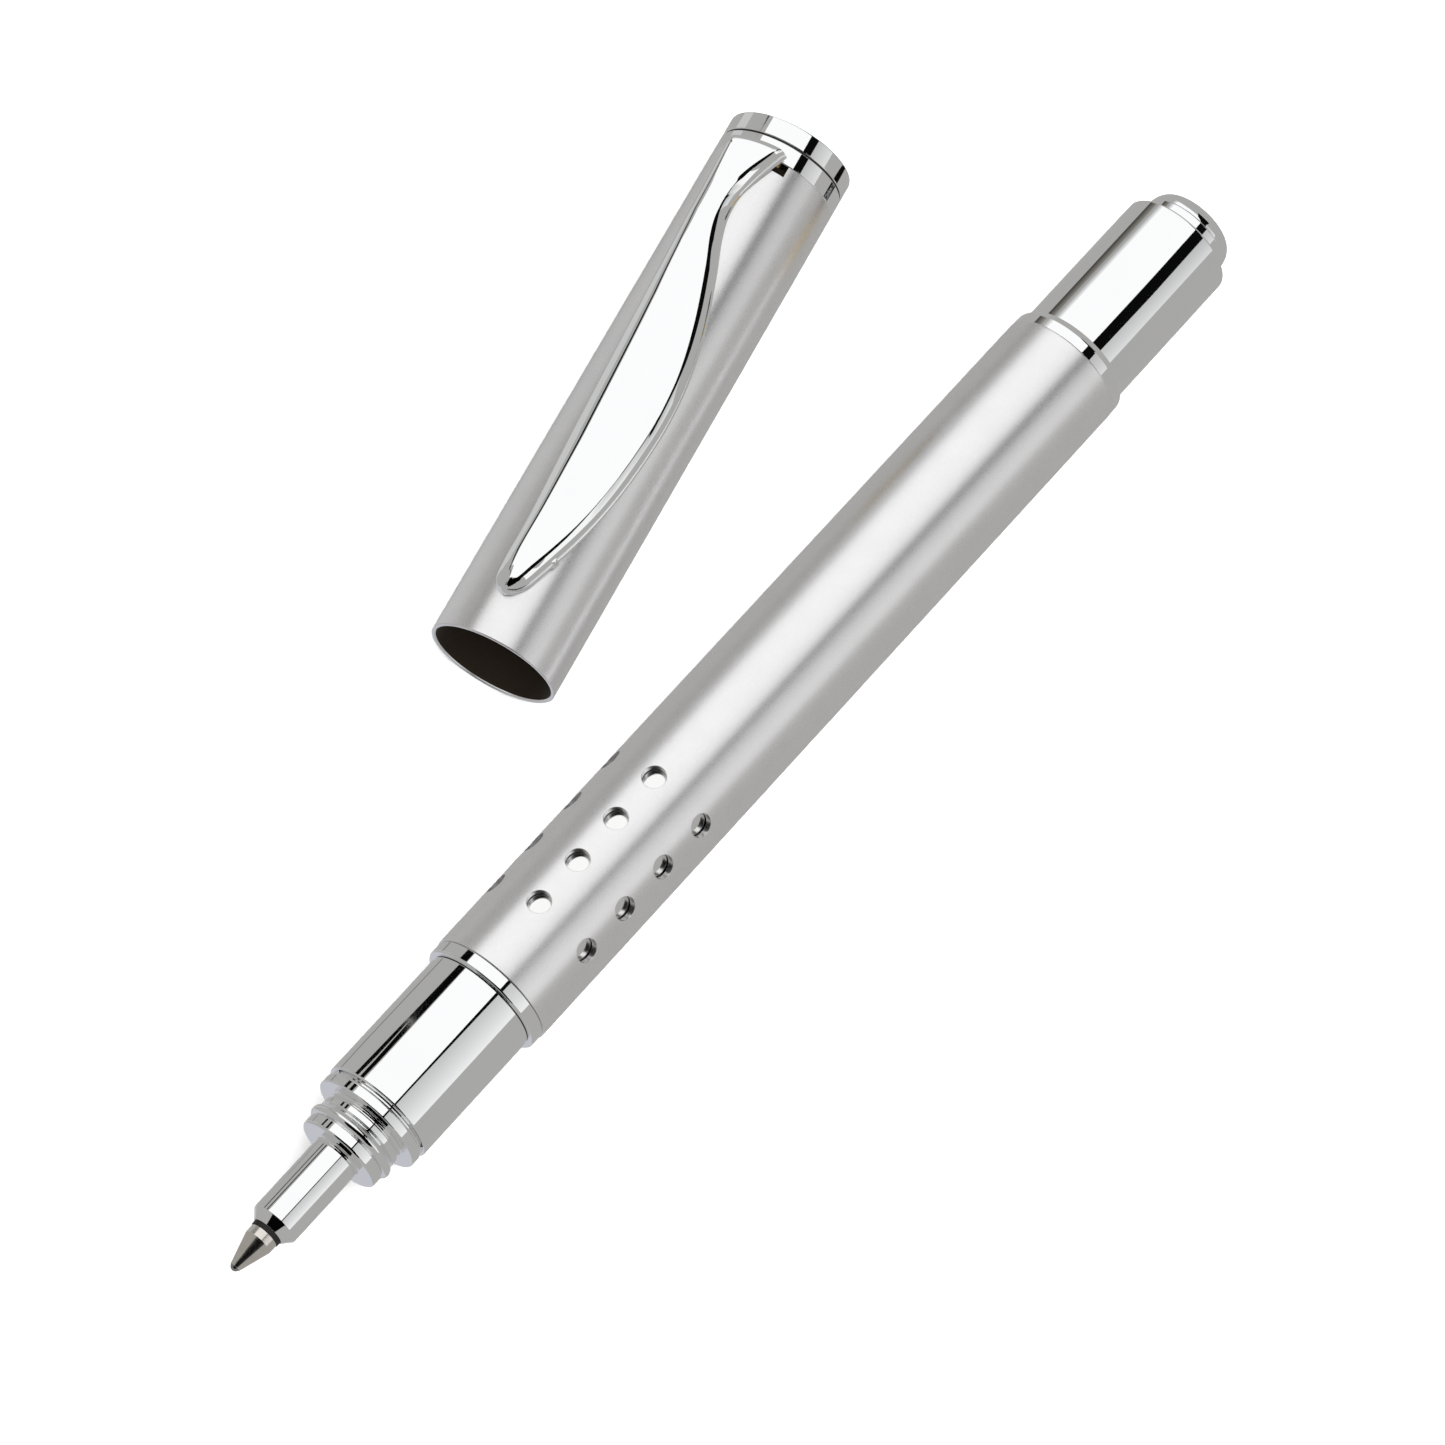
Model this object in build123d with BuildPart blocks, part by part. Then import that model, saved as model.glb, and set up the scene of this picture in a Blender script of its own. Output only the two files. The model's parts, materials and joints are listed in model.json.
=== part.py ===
from build123d import *
from math import cos, radians, sin
import os

# A capped metal rollerball pen, lying open on a table with its cap beside it. Millimetres.
# The pen lies along X, writing point towards -X, and the middle of its barrel is the origin.
# Pen stations run back from the writing point. Cap stations run from the cap's mouth to its crown.

# Writing refill
BALL_D = 0.80
SOCKET_GAP = 0.02
CONE_FRONT, CONE_FRONT_R = 0.30, 0.45
CONE_END, SHANK_R = 3.02, 1.25
SHANK_END = 3.78
TIP_TAIL_R, TIP_TAIL_END = 1.05, 7.0
INK_CHANNEL_R, INK_CHANNEL_END = 0.18, 2.6
FEED_SOCKET_R = 0.55
COLLAR_R, COLLAR_END = 1.32, 5.6
COLLAR_BODY_R, COLLAR_BODY_END = 1.75, 13.6
COLLAR_FLARE = 0.5
TUBE_R, TUBE_WALL, TUBE_ROUND = 3.0, 0.25, 0.2
TUBE_END = 108.6
PLUG_END, PLUG_CHAMFER = 110.6, 0.4
FEED_ROD_R, FEED_ROD_END = 0.50, 104.0
RESERVOIR_START, RESERVOIR_END = 15.2, 106.0

# Section, the part that the fingers hold
NOSE_FRONT, NOSE_FRONT_R, NOSE_BORE_R = 4.18, 1.39, 1.345
NOSE_CHAMFER_END, NOSE_R = 5.0, 2.07
NOSE_INNER_R, REFILL_STOP = 1.80, 13.55
NOSE_STEP_START, NOSE_STEP_END = 5.5, 6.0
RING_START, RING_END, RING_R = 12.45, 13.50, 3.66
BEAD_PEAK, BEAD_END, BEAD_R = 14.0, 14.72, 3.97
GROOVE_R = 3.42
BAND_END, BAND_R = 15.33, 3.65
NECK_END, NECK_R = 15.83, 3.50
FLANGE_END, FLANGE_R, FLANGE_CHAMFER = 16.68, 4.81, 0.10
FLANGE_GROOVE_END, FLANGE_GROOVE_R = 17.16, 4.68
SPIGOT_R, SPIGOT_END = 4.0, 22.0
REFILL_BORE_R = 3.15
SLEEVE_FRONT_R, SLEEVE_REAR_R, SLEEVE_END = 4.86, 4.98, 29.55
TENON_R, TENON_END = 4.60, 33.9
SEAL_STATION, SEAL_WIRE_R, SEAL_GROOVE_R = 31.7, 0.40, 3.82
THREAD_R, THREAD_END, THREAD_CHAMFER = 3.70, 39.5, 0.3
RUNNING_GAP, RIM_TOLERANCE = 0.05, 0.005

# Barrel
TRIM_START, TRIM_FRONT_R, TRIM_R = 29.60, 5.10, 5.40
TRIM_SHOULDER, TRIM_SHOULDER_R = 30.05, 5.38
BARREL_START, BARREL_END = 30.85, 103.35
BARREL_R, BARREL_WALL, BARREL_CHAMFER = 5.50, 0.60, 0.12
TRIM_SKIRT_END = 34.0
BUSH_FLANGE_END = 35.0
LINER_R, LINER_WALL, LINER_END = 4.80, 0.40, 101.0
HOLE_R, HOLE_ROWS = 1.0, 6
HOLE_STATIONS = (37.3, 42.0, 46.7, 51.4)
HOLE_FIRST_ANGLE = 22.9
DRILL_OVERSHOOT = 1.0
REAR_BUSH_START, REAR_BUSH_BORE_R = 97.0, 3.35
REAR_STUD_R, REAR_STUD_END = 3.90, 110.0
REAR_TRIM_FRONT_R, REAR_TRIM_BORE_R = 5.48, 4.60
REAR_TRIM_SHOULDER, REAR_TRIM_SHOULDER_R = 104.35, 5.45
REAR_TRIM_END, REAR_TRIM_BACK_R = 104.90, 5.06
TAIL_R, TAIL_END, TAIL_ROUND = 5.0, 118.9, 0.20
SEAT_START, SEAT_FLOOR, SEAT_END, SEAT_BORE_R = 115.6, 116.5, 117.0, 1.2
BUTTON_R, BUTTON_END, BUTTON_ROUND = 4.0, 121.5, 0.9
BUTTON_STEM_R, BUTTON_STEM_START = 1.75, 116.6
SPRING_R, SPRING_WIRE_R, SPRING_TURNS, SPRING_GAP = 2.45, 0.20, 7, 0.05

# Cap
CAP_R, CAP_CROWN_R, CAP_WALL, CAP_LIP_ROUND = 5.585, 5.545, 0.315, 0.105
CAP_LENGTH = 47.7
CAP_LINER_START, CAP_LINER_ENTRY, CAP_LINER_ENTRY_R = 2.0, 2.1, 5.20
CAP_LINER_R, CAP_LINER_END = 5.10, 13.5
INNER_CAP_ENTRY, INNER_CAP_ENTRY_R = 14.0, 4.55
INNER_CAP_BORE_R, INNER_CAP_FLOOR, INNER_CAP_END = 4.05, 30.6, 32.4
CAP_PLUG_START, CAP_PLUG_STEP, CAP_PLUG_BACK_R = 42.0, 46.5, 4.27
STUD_R, STUD_START, STUD_END = 1.75, 40.0, 50.2
CLIP_RING_R, CLIP_RING_END = 5.55, 49.35
WASHER_R, WASHER_END = 5.30, 49.5
CROWN_END, CROWN_CHAMFER = 51.25, 0.15
CAP_MOUTH_X, CAP_MOUTH_Y, CAP_HEADING = -16.5, 17.5, 12.4

# Clip, drawn on a plane that touches its inner face, as (station, side) points
CLIP_TILT = 29.6
CLIP_INNER_H, CLIP_THICKNESS = 5.70, 1.20
CLIP_TIP = (3.75, -0.55)
CLIP_NOSE_LEFT, CLIP_SIDE_LEFT, CLIP_ROOT_LEFT = (5.2, 0.95), (28.3, 2.14), (47.9, 2.75)
CLIP_NOSE_RIGHT, CLIP_SHOULDER_RIGHT, CLIP_BELLY_RIGHT = (5.2, -2.15), (11.0, -3.95), (21.5, -5.30)
CLIP_FLANK_RIGHT, CLIP_WAIST_RIGHT, CLIP_ROOT_RIGHT = (32.0, -3.75), (42.7, -0.46), (47.9, -1.90)
CLIP_TAB_GAP = 0.08
CLIP_BUMP_STATION, CLIP_BUMP_R = 7.4, 0.8
SLOT_DEPTH, SLOT_WIDTH, SLOT_SIDE = 1.0, 1.2, -2.3

BARREL_MIDDLE = (BARREL_START + BARREL_END) / 2
BARREL_INNER_R = BARREL_R - BARREL_WALL
LINER_INNER_R = LINER_R - LINER_WALL
CAP_BORE_R = CAP_R - CAP_WALL

PEN = Plane(origin=(-BARREL_MIDDLE, 0, 0), x_dir=(1, 0, 0), z_dir=(0, 0, 1))
CAP = Plane(
    origin=(CAP_MOUTH_X, CAP_MOUTH_Y, CAP_R - BARREL_R),
    x_dir=(cos(radians(CAP_HEADING)), sin(radians(CAP_HEADING)), 0),
    z_dir=(0, 0, 1),
)
TILTED = Plane(
    origin=CAP.origin,
    x_dir=CAP.x_dir,
    z_dir=CAP.z_dir.rotate(Axis((0, 0, 0), CAP.x_dir), -CLIP_TILT),
)


def turn(plane, *outline):
    """Revolve a closed outline of (station, radius) points about the plane's own X axis."""
    with BuildSketch(plane) as profile:
        with BuildLine():
            Polyline(*outline, close=True)
        make_face()
    revolve(profile.sketch, axis=Axis(plane.origin, plane.x_dir))


def rims(part, plane, station):
    """The circular edges of a turned part that lie at one station of its axis."""
    axis = Axis(plane.origin, plane.x_dir)
    circles = part.edges().filter_by(GeomType.CIRCLE)
    return circles.filter_by_position(axis, station - RIM_TOLERANCE, station + RIM_TOLERANCE)


def outermost(edges):
    """The largest circle of a set of circular edges."""
    return edges.sort_by(SortBy.RADIUS)[-1]


def across(plane, station):
    """A plane square to a turned part's axis, at a station."""
    origin = plane.from_local_coords(Vector(station, 0, 0))
    return Plane(origin=origin, x_dir=plane.y_dir, z_dir=plane.x_dir)


# Refill: ball, tip, collar, tube, feed rod, ink reservoir, end plug

with BuildPart(across(PEN, BALL_D / 2)) as writing_ball:
    Sphere(BALL_D / 2)

with BuildPart() as refill_tip:
    turn(
        PEN,
        (CONE_FRONT, 0),
        (CONE_FRONT, CONE_FRONT_R),
        (CONE_END, SHANK_R),
        (SHANK_END, SHANK_R),
        (SHANK_END, TIP_TAIL_R),
        (TIP_TAIL_END, TIP_TAIL_R),
        (TIP_TAIL_END, FEED_SOCKET_R),
        (INK_CHANNEL_END, FEED_SOCKET_R),
        (INK_CHANNEL_END, INK_CHANNEL_R),
        (BALL_D / 2, INK_CHANNEL_R),
        (BALL_D / 2, 0),
    )
    with Locations(across(PEN, BALL_D / 2)):
        Sphere(BALL_D / 2 + SOCKET_GAP, mode=Mode.SUBTRACT)

with BuildPart() as refill_collar:
    turn(
        PEN,
        (SHANK_END, TIP_TAIL_R),
        (SHANK_END, COLLAR_R),
        (COLLAR_END, COLLAR_R),
        (COLLAR_END + COLLAR_FLARE, COLLAR_BODY_R),
        (COLLAR_BODY_END, COLLAR_BODY_R),
        (COLLAR_BODY_END, TUBE_R - TUBE_WALL),
        (RESERVOIR_START, TUBE_R - TUBE_WALL),
        (RESERVOIR_START, FEED_ROD_R),
        (TIP_TAIL_END, FEED_ROD_R),
        (TIP_TAIL_END, TIP_TAIL_R),
    )

with BuildPart() as refill_tube:
    turn(
        PEN,
        (COLLAR_BODY_END, TUBE_R - TUBE_WALL),
        (COLLAR_BODY_END, TUBE_R),
        (TUBE_END, TUBE_R),
        (TUBE_END, TUBE_R - TUBE_WALL),
    )
    fillet(outermost(rims(refill_tube, PEN, COLLAR_BODY_END)), TUBE_ROUND)

with BuildPart(across(PEN, INK_CHANNEL_END)) as ink_feed_rod:
    Cylinder(
        FEED_ROD_R,
        FEED_ROD_END - INK_CHANNEL_END,
        align=(Align.CENTER, Align.CENTER, Align.MIN),
    )

with BuildPart() as ink_reservoir:
    turn(
        PEN,
        (RESERVOIR_START, FEED_ROD_R),
        (RESERVOIR_START, TUBE_R - TUBE_WALL),
        (RESERVOIR_END, TUBE_R - TUBE_WALL),
        (RESERVOIR_END, 0),
        (FEED_ROD_END, 0),
        (FEED_ROD_END, FEED_ROD_R),
    )

with BuildPart() as refill_end_plug:
    turn(
        PEN,
        (RESERVOIR_END, 0),
        (RESERVOIR_END, TUBE_R - TUBE_WALL),
        (TUBE_END, TUBE_R - TUBE_WALL),
        (TUBE_END, TUBE_R),
        (PLUG_END - PLUG_CHAMFER, TUBE_R),
        (PLUG_END, TUBE_R - PLUG_CHAMFER),
        (PLUG_END, 0),
    )

# Section: nose piece, sleeve and seal

with BuildPart() as nose_piece:
    turn(
        PEN,
        (NOSE_FRONT, NOSE_BORE_R),
        (NOSE_FRONT, NOSE_FRONT_R),
        (NOSE_CHAMFER_END, NOSE_R),
        (RING_START, NOSE_R),
        (RING_START, RING_R),
        (RING_END, RING_R),
        (RING_END, GROOVE_R),
        (BEAD_END, GROOVE_R),
        (BEAD_END, BAND_R),
        (BAND_END, BAND_R),
        (BAND_END, NECK_R),
        (NECK_END, NECK_R),
        (NECK_END, FLANGE_R - FLANGE_CHAMFER),
        (NECK_END + FLANGE_CHAMFER, FLANGE_R),
        (FLANGE_END, FLANGE_R),
        (FLANGE_END, FLANGE_GROOVE_R),
        (FLANGE_GROOVE_END, FLANGE_GROOVE_R),
        (FLANGE_GROOVE_END, SPIGOT_R),
        (SPIGOT_END, SPIGOT_R),
        (SPIGOT_END, REFILL_BORE_R),
        (REFILL_STOP, REFILL_BORE_R),
        (REFILL_STOP, NOSE_INNER_R),
        (NOSE_STEP_END, NOSE_INNER_R),
        (NOSE_STEP_START, NOSE_BORE_R),
    )
    with BuildSketch(PEN) as bead:
        with BuildLine():
            Line((BEAD_END, GROOVE_R), (RING_END, GROOVE_R))
            ThreePointArc((RING_END, GROOVE_R), (BEAD_PEAK, BEAD_R), (BEAD_END, GROOVE_R))
        make_face()
    revolve(bead.sketch, axis=Axis(PEN.origin, PEN.x_dir))

with BuildPart() as section_sleeve:
    turn(
        PEN,
        (FLANGE_GROOVE_END, SPIGOT_R),
        (FLANGE_GROOVE_END, SLEEVE_FRONT_R),
        (SLEEVE_END, SLEEVE_REAR_R),
        (SLEEVE_END, TENON_R),
        (SEAL_STATION - SEAL_WIRE_R, TENON_R),
        (SEAL_STATION - SEAL_WIRE_R, SEAL_GROOVE_R),
        (SEAL_STATION + SEAL_WIRE_R, SEAL_GROOVE_R),
        (SEAL_STATION + SEAL_WIRE_R, TENON_R),
        (TENON_END, TENON_R),
        (TENON_END, THREAD_R),
        (THREAD_END, THREAD_R),
        (THREAD_END, REFILL_BORE_R),
        (SPIGOT_END, REFILL_BORE_R),
        (SPIGOT_END, SPIGOT_R),
    )
    chamfer(outermost(rims(section_sleeve, PEN, THREAD_END)), THREAD_CHAMFER)

with BuildPart() as section_seal:
    with BuildSketch(PEN) as seal_wire:
        with Locations((SEAL_STATION, SEAL_GROOVE_R + SEAL_WIRE_R)):
            Circle(SEAL_WIRE_R)
    revolve(seal_wire.sketch, axis=Axis(PEN.origin, PEN.x_dir))

# Barrel: front trim ring, bushes, perforated tube, liner, rear ring, tail, spring

with BuildPart() as front_trim_ring:
    turn(
        PEN,
        (TRIM_START, TENON_R + RUNNING_GAP),
        (TRIM_START, TRIM_FRONT_R),
        (TRIM_SHOULDER, TRIM_SHOULDER_R),
        (BARREL_START, TRIM_R),
        (BARREL_START, BARREL_INNER_R),
        (TRIM_SKIRT_END, BARREL_INNER_R),
        (TRIM_SKIRT_END, TENON_R + RUNNING_GAP),
    )

with BuildPart() as front_bush:
    turn(
        PEN,
        (TRIM_SKIRT_END, THREAD_R + RUNNING_GAP),
        (TRIM_SKIRT_END, BARREL_INNER_R),
        (BUSH_FLANGE_END, BARREL_INNER_R),
        (BUSH_FLANGE_END, LINER_INNER_R),
        (THREAD_END, LINER_INNER_R),
        (THREAD_END, THREAD_R + RUNNING_GAP),
    )

with BuildPart() as barrel_tube:
    turn(
        PEN,
        (BARREL_START, BARREL_INNER_R),
        (BARREL_START, BARREL_R),
        (BARREL_END, BARREL_R),
        (BARREL_END, BARREL_INNER_R),
    )
    for end in (BARREL_START, BARREL_END):
        chamfer(outermost(rims(barrel_tube, PEN, end)), BARREL_CHAMFER)
    for station in HOLE_STATIONS:
        for row in range(HOLE_ROWS):
            angle = radians(HOLE_FIRST_ANGLE + row * 360 / HOLE_ROWS)
            outward = (0, sin(angle), cos(angle))
            drilled = Plane(origin=(station - BARREL_MIDDLE, 0, 0), x_dir=(1, 0, 0), z_dir=outward)
            with BuildSketch(drilled) as hole:
                Circle(HOLE_R)
            extrude(hole.sketch, amount=BARREL_R + DRILL_OVERSHOOT, mode=Mode.SUBTRACT)

with BuildPart(across(PEN, BUSH_FLANGE_END)) as barrel_liner:
    Cylinder(
        LINER_R,
        LINER_END - BUSH_FLANGE_END,
        align=(Align.CENTER, Align.CENTER, Align.MIN),
    )
    Cylinder(
        LINER_INNER_R,
        LINER_END - BUSH_FLANGE_END,
        align=(Align.CENTER, Align.CENTER, Align.MIN),
        mode=Mode.SUBTRACT,
    )

with BuildPart() as rear_bush:
    turn(
        PEN,
        (REAR_BUSH_START, REAR_BUSH_BORE_R),
        (REAR_BUSH_START, LINER_INNER_R),
        (LINER_END, LINER_INNER_R),
        (LINER_END, BARREL_INNER_R),
        (BARREL_END, BARREL_INNER_R),
        (BARREL_END, REAR_STUD_R),
        (REAR_STUD_END, REAR_STUD_R),
        (REAR_STUD_END, REAR_BUSH_BORE_R),
    )

with BuildPart() as rear_trim_ring:
    turn(
        PEN,
        (BARREL_END, REAR_TRIM_BORE_R),
        (BARREL_END, REAR_TRIM_FRONT_R),
        (REAR_TRIM_SHOULDER, REAR_TRIM_SHOULDER_R),
        (REAR_TRIM_END, REAR_TRIM_BACK_R),
        (REAR_TRIM_END, REAR_TRIM_BORE_R),
    )

with BuildPart() as tail_sleeve:
    turn(
        PEN,
        (BARREL_END, REAR_STUD_R),
        (BARREL_END, REAR_TRIM_BORE_R),
        (REAR_TRIM_END, REAR_TRIM_BORE_R),
        (REAR_TRIM_END, TAIL_R),
        (TAIL_END, TAIL_R),
        (TAIL_END, BUTTON_STEM_R),
        (SEAT_END, BUTTON_STEM_R),
        (SEAT_END, REAR_STUD_R),
    )
    fillet(outermost(rims(tail_sleeve, PEN, TAIL_END)), TAIL_ROUND)

with BuildPart() as spring_seat:
    turn(
        PEN,
        (SEAT_START, SEAT_BORE_R),
        (SEAT_START, REAR_STUD_R),
        (SEAT_END, REAR_STUD_R),
        (SEAT_END, BUTTON_STEM_R),
        (SEAT_FLOOR, BUTTON_STEM_R),
        (SEAT_FLOOR, SEAT_BORE_R),
    )

with BuildPart() as tail_button:
    turn(
        PEN,
        (BUTTON_STEM_START, 0),
        (BUTTON_STEM_START, BUTTON_STEM_R),
        (TAIL_END, BUTTON_STEM_R),
        (TAIL_END, BUTTON_R),
        (BUTTON_END, BUTTON_R),
        (BUTTON_END, 0),
    )
    fillet(outermost(rims(tail_button, PEN, BUTTON_END)), BUTTON_ROUND)

spring_start = PLUG_END + SPRING_WIRE_R + SPRING_GAP
spring_end = SEAT_START - SPRING_WIRE_R - SPRING_GAP
spring_length = spring_end - spring_start
spring_line = Helix(
    pitch=spring_length / SPRING_TURNS,
    height=spring_length,
    radius=SPRING_R,
    center=PEN.from_local_coords(Vector(spring_start, 0, 0)),
    direction=(1, 0, 0),
)
with BuildPart() as refill_spring:
    with BuildSketch(Plane(origin=spring_line @ 0, z_dir=spring_line % 0)) as spring_wire:
        Circle(SPRING_WIRE_R)
    sweep(spring_wire.sketch, path=spring_line, is_frenet=True)

# Cap: tube, brass liner, inner cap, plug, stud, clip ring, washer and crown

with BuildPart() as cap_tube:
    turn(
        CAP,
        (0, CAP_BORE_R),
        (0, CAP_R),
        (CAP_LENGTH, CAP_CROWN_R),
        (CAP_LENGTH, CAP_BORE_R),
    )
    for edge in rims(cap_tube, CAP, 0):
        fillet(edge, CAP_LIP_ROUND)
    with BuildSketch(TILTED) as slot:
        with Locations((CAP_LENGTH, SLOT_SIDE)):
            Rectangle(2 * SLOT_DEPTH, SLOT_WIDTH)
    extrude(slot.sketch, amount=CAP_R + DRILL_OVERSHOOT, mode=Mode.SUBTRACT)

with BuildPart() as cap_liner:
    turn(
        CAP,
        (CAP_LINER_START, CAP_LINER_ENTRY_R),
        (CAP_LINER_START, CAP_BORE_R),
        (CAP_LINER_END, CAP_BORE_R),
        (CAP_LINER_END, CAP_LINER_R),
        (CAP_LINER_ENTRY, CAP_LINER_R),
    )

with BuildPart() as inner_cap:
    turn(
        CAP,
        (CAP_LINER_END, INNER_CAP_ENTRY_R),
        (CAP_LINER_END, CAP_BORE_R),
        (INNER_CAP_END, CAP_BORE_R),
        (INNER_CAP_END, 0),
        (INNER_CAP_FLOOR, 0),
        (INNER_CAP_FLOOR, INNER_CAP_BORE_R),
        (INNER_CAP_ENTRY, INNER_CAP_BORE_R),
    )

with BuildPart() as cap_plug:
    turn(
        CAP,
        (CAP_PLUG_START, STUD_R),
        (CAP_PLUG_START, CAP_BORE_R),
        (CAP_PLUG_STEP, CAP_BORE_R),
        (CAP_PLUG_STEP, CAP_PLUG_BACK_R),
        (CAP_LENGTH, CAP_PLUG_BACK_R),
        (CAP_LENGTH, STUD_R),
    )

with BuildPart() as clip_ring:
    turn(
        CAP,
        (CAP_LENGTH, STUD_R),
        (CAP_LENGTH, CLIP_RING_R),
        (CLIP_RING_END, CLIP_RING_R),
        (CLIP_RING_END, STUD_R),
    )

with BuildPart() as crown_washer:
    turn(
        CAP,
        (CLIP_RING_END, STUD_R),
        (CLIP_RING_END, WASHER_R),
        (WASHER_END, WASHER_R),
        (WASHER_END, STUD_R),
    )

with BuildPart() as crown:
    turn(
        CAP,
        (WASHER_END, STUD_R),
        (WASHER_END, CLIP_RING_R),
        (CROWN_END, CLIP_RING_R),
        (CROWN_END, 0),
        (STUD_END, 0),
        (STUD_END, STUD_R),
    )
    chamfer(outermost(rims(crown, CAP, CROWN_END)), CROWN_CHAMFER)

with BuildPart(across(CAP, STUD_START)) as crown_stud:
    Cylinder(STUD_R, STUD_END - STUD_START, align=(Align.CENTER, Align.CENTER, Align.MIN))

# Clip: one blade with a tab behind its root and a contact bump under its point

blade_plane = TILTED.offset(CLIP_INNER_H)
with BuildPart() as clip_blade:
    with BuildSketch(blade_plane) as blade:
        with BuildLine():
            ThreePointArc(CLIP_NOSE_LEFT, CLIP_TIP, CLIP_NOSE_RIGHT)
            Spline(CLIP_NOSE_LEFT, CLIP_SIDE_LEFT, CLIP_ROOT_LEFT)
            Spline(
                CLIP_NOSE_RIGHT,
                CLIP_SHOULDER_RIGHT,
                CLIP_BELLY_RIGHT,
                CLIP_FLANK_RIGHT,
                CLIP_WAIST_RIGHT,
                CLIP_ROOT_RIGHT,
            )
            Line(CLIP_ROOT_LEFT, CLIP_ROOT_RIGHT)
        make_face()
    extrude(blade.sketch, amount=CLIP_THICKNESS)
    with BuildSketch(TILTED.offset(CLIP_RING_R + CLIP_TAB_GAP)) as tab:
        with Locations(((CAP_LENGTH + CLIP_RING_END) / 2, (CLIP_ROOT_LEFT[1] + CLIP_ROOT_RIGHT[1]) / 2)):
            Rectangle(CLIP_RING_END - CAP_LENGTH, CLIP_ROOT_LEFT[1] - CLIP_ROOT_RIGHT[1])
    extrude(tab.sketch, amount=CLIP_INNER_H + CLIP_THICKNESS - CLIP_RING_R - CLIP_TAB_GAP)
    with BuildSketch(blade_plane) as bump:
        with Locations((CLIP_BUMP_STATION, 0)):
            Circle(CLIP_BUMP_R)
    extrude(bump.sketch, amount=-(CLIP_INNER_H - CAP_R - CLIP_TAB_GAP))

os.makedirs("parts", exist_ok=True)
PIECES = {
    "writing_ball": writing_ball,
    "refill_tip": refill_tip,
    "refill_collar": refill_collar,
    "refill_tube": refill_tube,
    "ink_feed_rod": ink_feed_rod,
    "ink_reservoir": ink_reservoir,
    "refill_end_plug": refill_end_plug,
    "nose_piece": nose_piece,
    "section_sleeve": section_sleeve,
    "section_seal": section_seal,
    "front_trim_ring": front_trim_ring,
    "front_bush": front_bush,
    "barrel_tube": barrel_tube,
    "barrel_liner": barrel_liner,
    "rear_bush": rear_bush,
    "rear_trim_ring": rear_trim_ring,
    "tail_sleeve": tail_sleeve,
    "spring_seat": spring_seat,
    "tail_button": tail_button,
    "refill_spring": refill_spring,
    "cap_tube": cap_tube,
    "cap_liner": cap_liner,
    "inner_cap": inner_cap,
    "cap_plug": cap_plug,
    "clip_ring": clip_ring,
    "crown_washer": crown_washer,
    "crown": crown,
    "crown_stud": crown_stud,
    "clip_blade": clip_blade,
}
for name, piece in PIECES.items():
    piece.part.label = name
    export_step(piece.part, f"parts/{name}.step")
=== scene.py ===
"""Looks for a capped metal rollerball pen: its metal skins, the table, the light and the camera.

The pen lies along X with its writing point towards -X, and its cap lies beside it.
Sizes are in millimetres, and meshes are built in metres in the CAD model's own frame.
Pen stations run back from the writing point, and cap stations from the cap's mouth to its crown.
"""

import json
import logging
import math
from collections.abc import Sequence
from dataclasses import astuple, dataclass, field
from enum import Enum

import bpy
import numpy as np
from mathutils import Matrix, Vector

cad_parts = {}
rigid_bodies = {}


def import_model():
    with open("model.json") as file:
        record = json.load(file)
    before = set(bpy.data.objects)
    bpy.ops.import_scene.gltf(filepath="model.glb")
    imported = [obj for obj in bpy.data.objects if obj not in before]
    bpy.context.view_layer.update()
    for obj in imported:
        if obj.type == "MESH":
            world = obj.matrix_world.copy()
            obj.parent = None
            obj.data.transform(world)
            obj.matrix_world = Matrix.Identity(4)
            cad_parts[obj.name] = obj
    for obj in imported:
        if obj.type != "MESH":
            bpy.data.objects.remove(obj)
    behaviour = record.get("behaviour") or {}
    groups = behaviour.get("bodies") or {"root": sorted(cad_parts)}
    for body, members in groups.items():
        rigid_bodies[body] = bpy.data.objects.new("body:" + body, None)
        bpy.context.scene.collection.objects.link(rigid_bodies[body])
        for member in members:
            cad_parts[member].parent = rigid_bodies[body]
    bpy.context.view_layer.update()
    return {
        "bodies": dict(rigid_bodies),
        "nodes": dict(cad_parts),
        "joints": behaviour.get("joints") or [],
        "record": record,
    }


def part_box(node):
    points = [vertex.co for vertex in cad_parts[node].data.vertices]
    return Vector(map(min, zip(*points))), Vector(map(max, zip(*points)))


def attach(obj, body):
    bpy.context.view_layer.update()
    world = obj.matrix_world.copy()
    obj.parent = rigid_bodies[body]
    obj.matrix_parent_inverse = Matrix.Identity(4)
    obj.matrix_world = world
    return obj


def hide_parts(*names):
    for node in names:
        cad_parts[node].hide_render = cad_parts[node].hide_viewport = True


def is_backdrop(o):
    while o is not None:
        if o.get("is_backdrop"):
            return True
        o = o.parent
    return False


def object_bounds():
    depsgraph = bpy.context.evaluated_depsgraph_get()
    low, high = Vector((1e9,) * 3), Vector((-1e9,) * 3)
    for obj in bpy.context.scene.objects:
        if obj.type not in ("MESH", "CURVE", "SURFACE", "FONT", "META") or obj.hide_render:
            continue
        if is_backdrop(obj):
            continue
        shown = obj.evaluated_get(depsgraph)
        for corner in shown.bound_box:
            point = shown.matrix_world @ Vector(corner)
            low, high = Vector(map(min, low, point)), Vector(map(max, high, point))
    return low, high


MM = 0.001

# How far corners are rounded off, in millimetres, where an outline doesn't say otherwise.
OUTLINE_ROUNDING = 0.02
CRISP, EASED, SMALL, SOFT = 0.03, 0.05, 0.08, 0.10
SMOOTH_TURN = math.radians(28.0)
ARC_STEP = math.radians(9.0)
EDGE_LEANS = (30.0, 60.0, 90.0)
ON_AXIS = 1e-9

# A face corner is shaded sharp where its face leans further than this from the true surface.
SHARP_DOT = 0.62
MERGE_DISTANCE = 2e-7

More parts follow.
